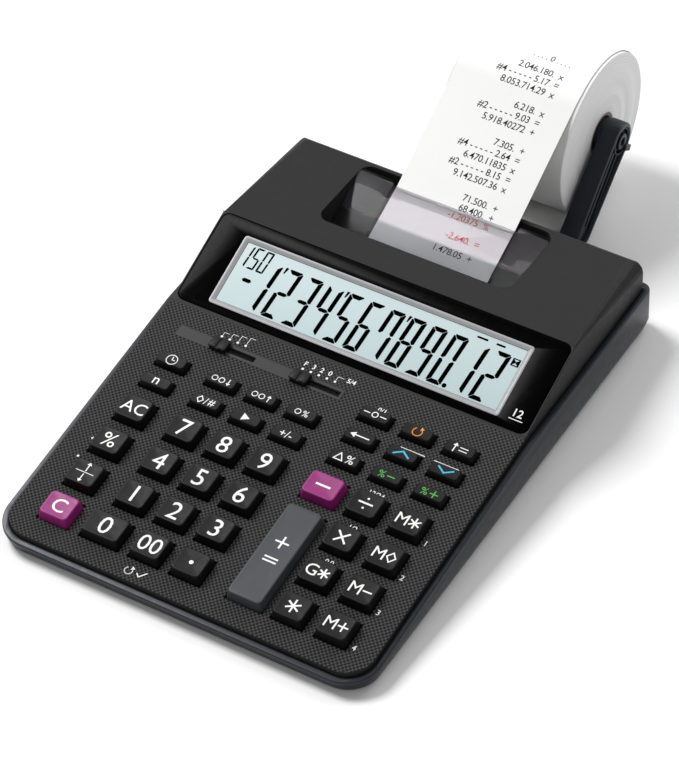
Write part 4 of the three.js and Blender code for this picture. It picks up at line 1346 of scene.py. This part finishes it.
def arm_outline(inset):
    """(y, z) outline of an arm's blade and round head, shrunk by an inset."""
    half = ARM_WIDTH / 2 - inset
    reach = ARM_WIDTH / 2 * 0.7
    front, toe, heel = ARM_PIVOT_Y - 4.4, ARM_PIVOT_Y + 19, ARM_PIVOT_Y + 6.6
    lean = math.atan2(ROLL_Z - reach - ARM_LOW_Z, ROLL_Y + reach - toe)
    start = lean - math.pi / 2
    head = arc_points(ROLL_Y, ROLL_Z, half, start, start + math.pi * 1.03, 20)
    return [(front + inset, ARM_LOW_Z + inset), (toe - inset * 0.4, ARM_LOW_Z + inset), *head,
            (heel + inset * 0.4, ARM_FOOT_Z - inset), (front + inset, ARM_FOOT_Z - inset)]


def bar(start, end, x0, x1, half):
    """A straight rib from start to end, as wide as 2 half, between two x planes."""
    direction = (end - start).normalized()
    across = Vector((0, -direction.z, direction.y)) * half
    corners = [start - across, start + across, end + across, end - across]
    bm = skin([[(min(x0, x1), p.y, p.z) for p in corners], [(max(x0, x1), p.y, p.z) for p in corners]])
    bmesh.ops.recalc_face_normals(bm, faces=bm.faces)
    return bm


def make_arm(side):
    """A paper arm with its hub, and the boss, latch, lip and ribs on its outer face."""
    name = "right" if side > 0 else "left"
    inner = ROLL_X + side * (ROLL_WIDTH / 2 + ARM_GAP)
    outer = inner + side * ARM_THICKNESS
    flare = ARM_FLARE if side > 0 else 0

    def ring(x, inset, flared=0.0):
        """The arm's outline at x, moved towards the roll at its foot."""
        return [(x - flared * max(0, 1 - z / ROLL_Z), y, z) for y, z in arm_outline(inset)]

    slight = ARM_EDGE * 0.3
    rings = [ring(inner, ARM_EDGE, flare), ring(inner + side * slight, slight, flare),
             ring(inner + side * ARM_EDGE, 0, flare), ring(outer - side * ARM_EDGE, 0),
             ring(outer - side * slight, slight), ring(outer, ARM_EDGE),
             ring(outer, 2.0), ring(outer - side * 0.2, 2.2), ring(outer - side * 1.9, 2.4)]
    bm = skin(rings)
    bmesh.ops.recalc_face_normals(bm, faces=bm.faces)
    arm = place_piece(finish_mesh(f"{name}_arm_blade", bm, CASE, "arm_plastic", ARM_SHARP),
                      f"{name}_arm", [f"{name}_paper_arm"])

    def fit(label, shape, where):
        attach(finish_mesh(f"{name}_arm_{label}", shape, where, "arm_plastic"), arm)

    fit("hub", lathe(HUB_PROFILE, 48), along_x(inner, ROLL_Y, ROLL_Z, -side))
    fit("boss", lathe(BOSS_PROFILE, 36), along_x(outer - side * 2.4, ROLL_Y, ROLL_Z, side))
    place = Matrix.Translation((outer - side * 2.0, ROLL_Y + 3.6, ROLL_Z - 6.2))
    turn = Matrix.Rotation(math.radians(-35), 4, "X") @ Matrix.Rotation(side * math.pi / 2, 4, "Y")
    fit("latch", block(-1.6, 1.6, -3.2, 3.2, 0, 3.4, 0.5, 0.4), CASE @ place @ turn)
    fit("lip", lathe(LIP_PROFILE, 48), along_x(outer - side * 2.1, ROLL_Y, ROLL_Z, side))

    ribs = bmesh.new()
    start, end = Vector((0, ARM_PIVOT_Y + 20, 12)), Vector((0, ROLL_Y, ROLL_Z))
    direction = (end - start).normalized()
    across = Vector((0, -direction.z, direction.y))
    for offset in (-ARM_RAIL_OFFSET, ARM_RAIL_OFFSET):
        first, last = start + across * offset, end - direction * 6.6 + across * offset
        join(ribs, bar(first, last, outer - side * 2.4, outer - side * 1.2, ARM_RAIL_HALF))
    fit("ribs", ribs, CASE)


# ---- underside and rear ------------------------------------------------------------------------
COVER_RIBS, COVER_RIB_PITCH = 7, 1.7
SCREWS = ((-86, 40), (86, 40), (-86, 226), (86, 226), (-62, 130), (62, 130))
SCREW_PROFILE = [(0, -0.3), (2.6, -0.3), (2.6, 0.12), (2.1, 0.4), (0, 0.4)]
INLET = (67, CASE_DEPTH - 3.2, 11)
INLET_RING_PROFILE = [(1.6, -0.5), (4.0, -0.5), (4.0, 2.4), (3.6, 2.8), (2.2, 2.8), (1.6, 2.4)]
INLET_PIN_PROFILE = [(0, -0.5), (0.7, -0.5), (0.7, 1.8), (0.4, 2.2), (0, 2.2)]


def make_underside():
    """The battery cover, the case screws and the power inlet."""
    low, high = local_box("battery_cover", CASE)
    flip = CASE @ Matrix.Rotation(math.pi, 4, "Y")
    cover = block(-high.x, -low.x, low.y, high.y, -high.z, -0.05, 1.2, 0.3)
    for k in range(COVER_RIBS):
        y = low.y + 7 + COVER_RIB_PITCH * k
        join(cover, block(-9, 9, y, y + 0.8, -0.4, 0.25, 0.3, 0.2))
    place_piece(finish_mesh("battery_cover_ribbed", cover, flip, "lower_shell"), "battery_cover",
                ["battery_cover"])
    for k, (x, y) in enumerate(SCREWS, 1):
        where = CASE @ Matrix.Translation((x, y, 0)) @ Matrix.Rotation(math.pi, 4, "X")
        screw = on_case(f"case_screw_{k}", lathe(SCREW_PROFILE, 28), where, "steel")
        # the cross recess is not cut: a black cross is painted on the head as painted shade in the recess
        slot_shade = shift(cross(1.5, 0.5)(), z=0.41)
        attach(finish_mesh(f"case_screw_slot_shade_{k}", slot_shade, where, "black_ink"), screw)
    rear = CASE @ Matrix.Translation(INLET) @ Matrix.Rotation(-math.pi / 2, 4, "X")
    on_case("power_inlet_ring", lathe(INLET_RING_PROFILE, 36), rear, "switch_plastic")
    on_case("power_inlet_pin", lathe(INLET_PIN_PROFILE, 20), rear, "steel")


# ---- the scene ---------------------------------------------------------------------------------
make_camera()
bpy.context.scene.view_settings.view_transform = "Standard"

world = bpy.data.worlds.new("studio")
bpy.context.scene.world = world
world.use_nodes = True
background = world.node_tree.nodes["Background"]
background.inputs["Color"].default_value = (1, 1, 1, 1)
background.inputs["Strength"].default_value = ROOM_STRENGTH
for light_values in LIGHTS:
    area_light(*light_values)

floor_bm = bmesh.new()
bmesh.ops.create_grid(floor_bm, x_segments=8, y_segments=8, size=FLOOR_HALF)
floor = finish_mesh("floor", floor_bm, Matrix.Identity(4), "floor")

make_shells()
make_keys()
make_deck_marks()
make_switches()
make_display()
make_paper()
make_cutter()
dress_cad_nodes()
for arm_side in (-1, 1):
    make_arm(arm_side)
make_underside()
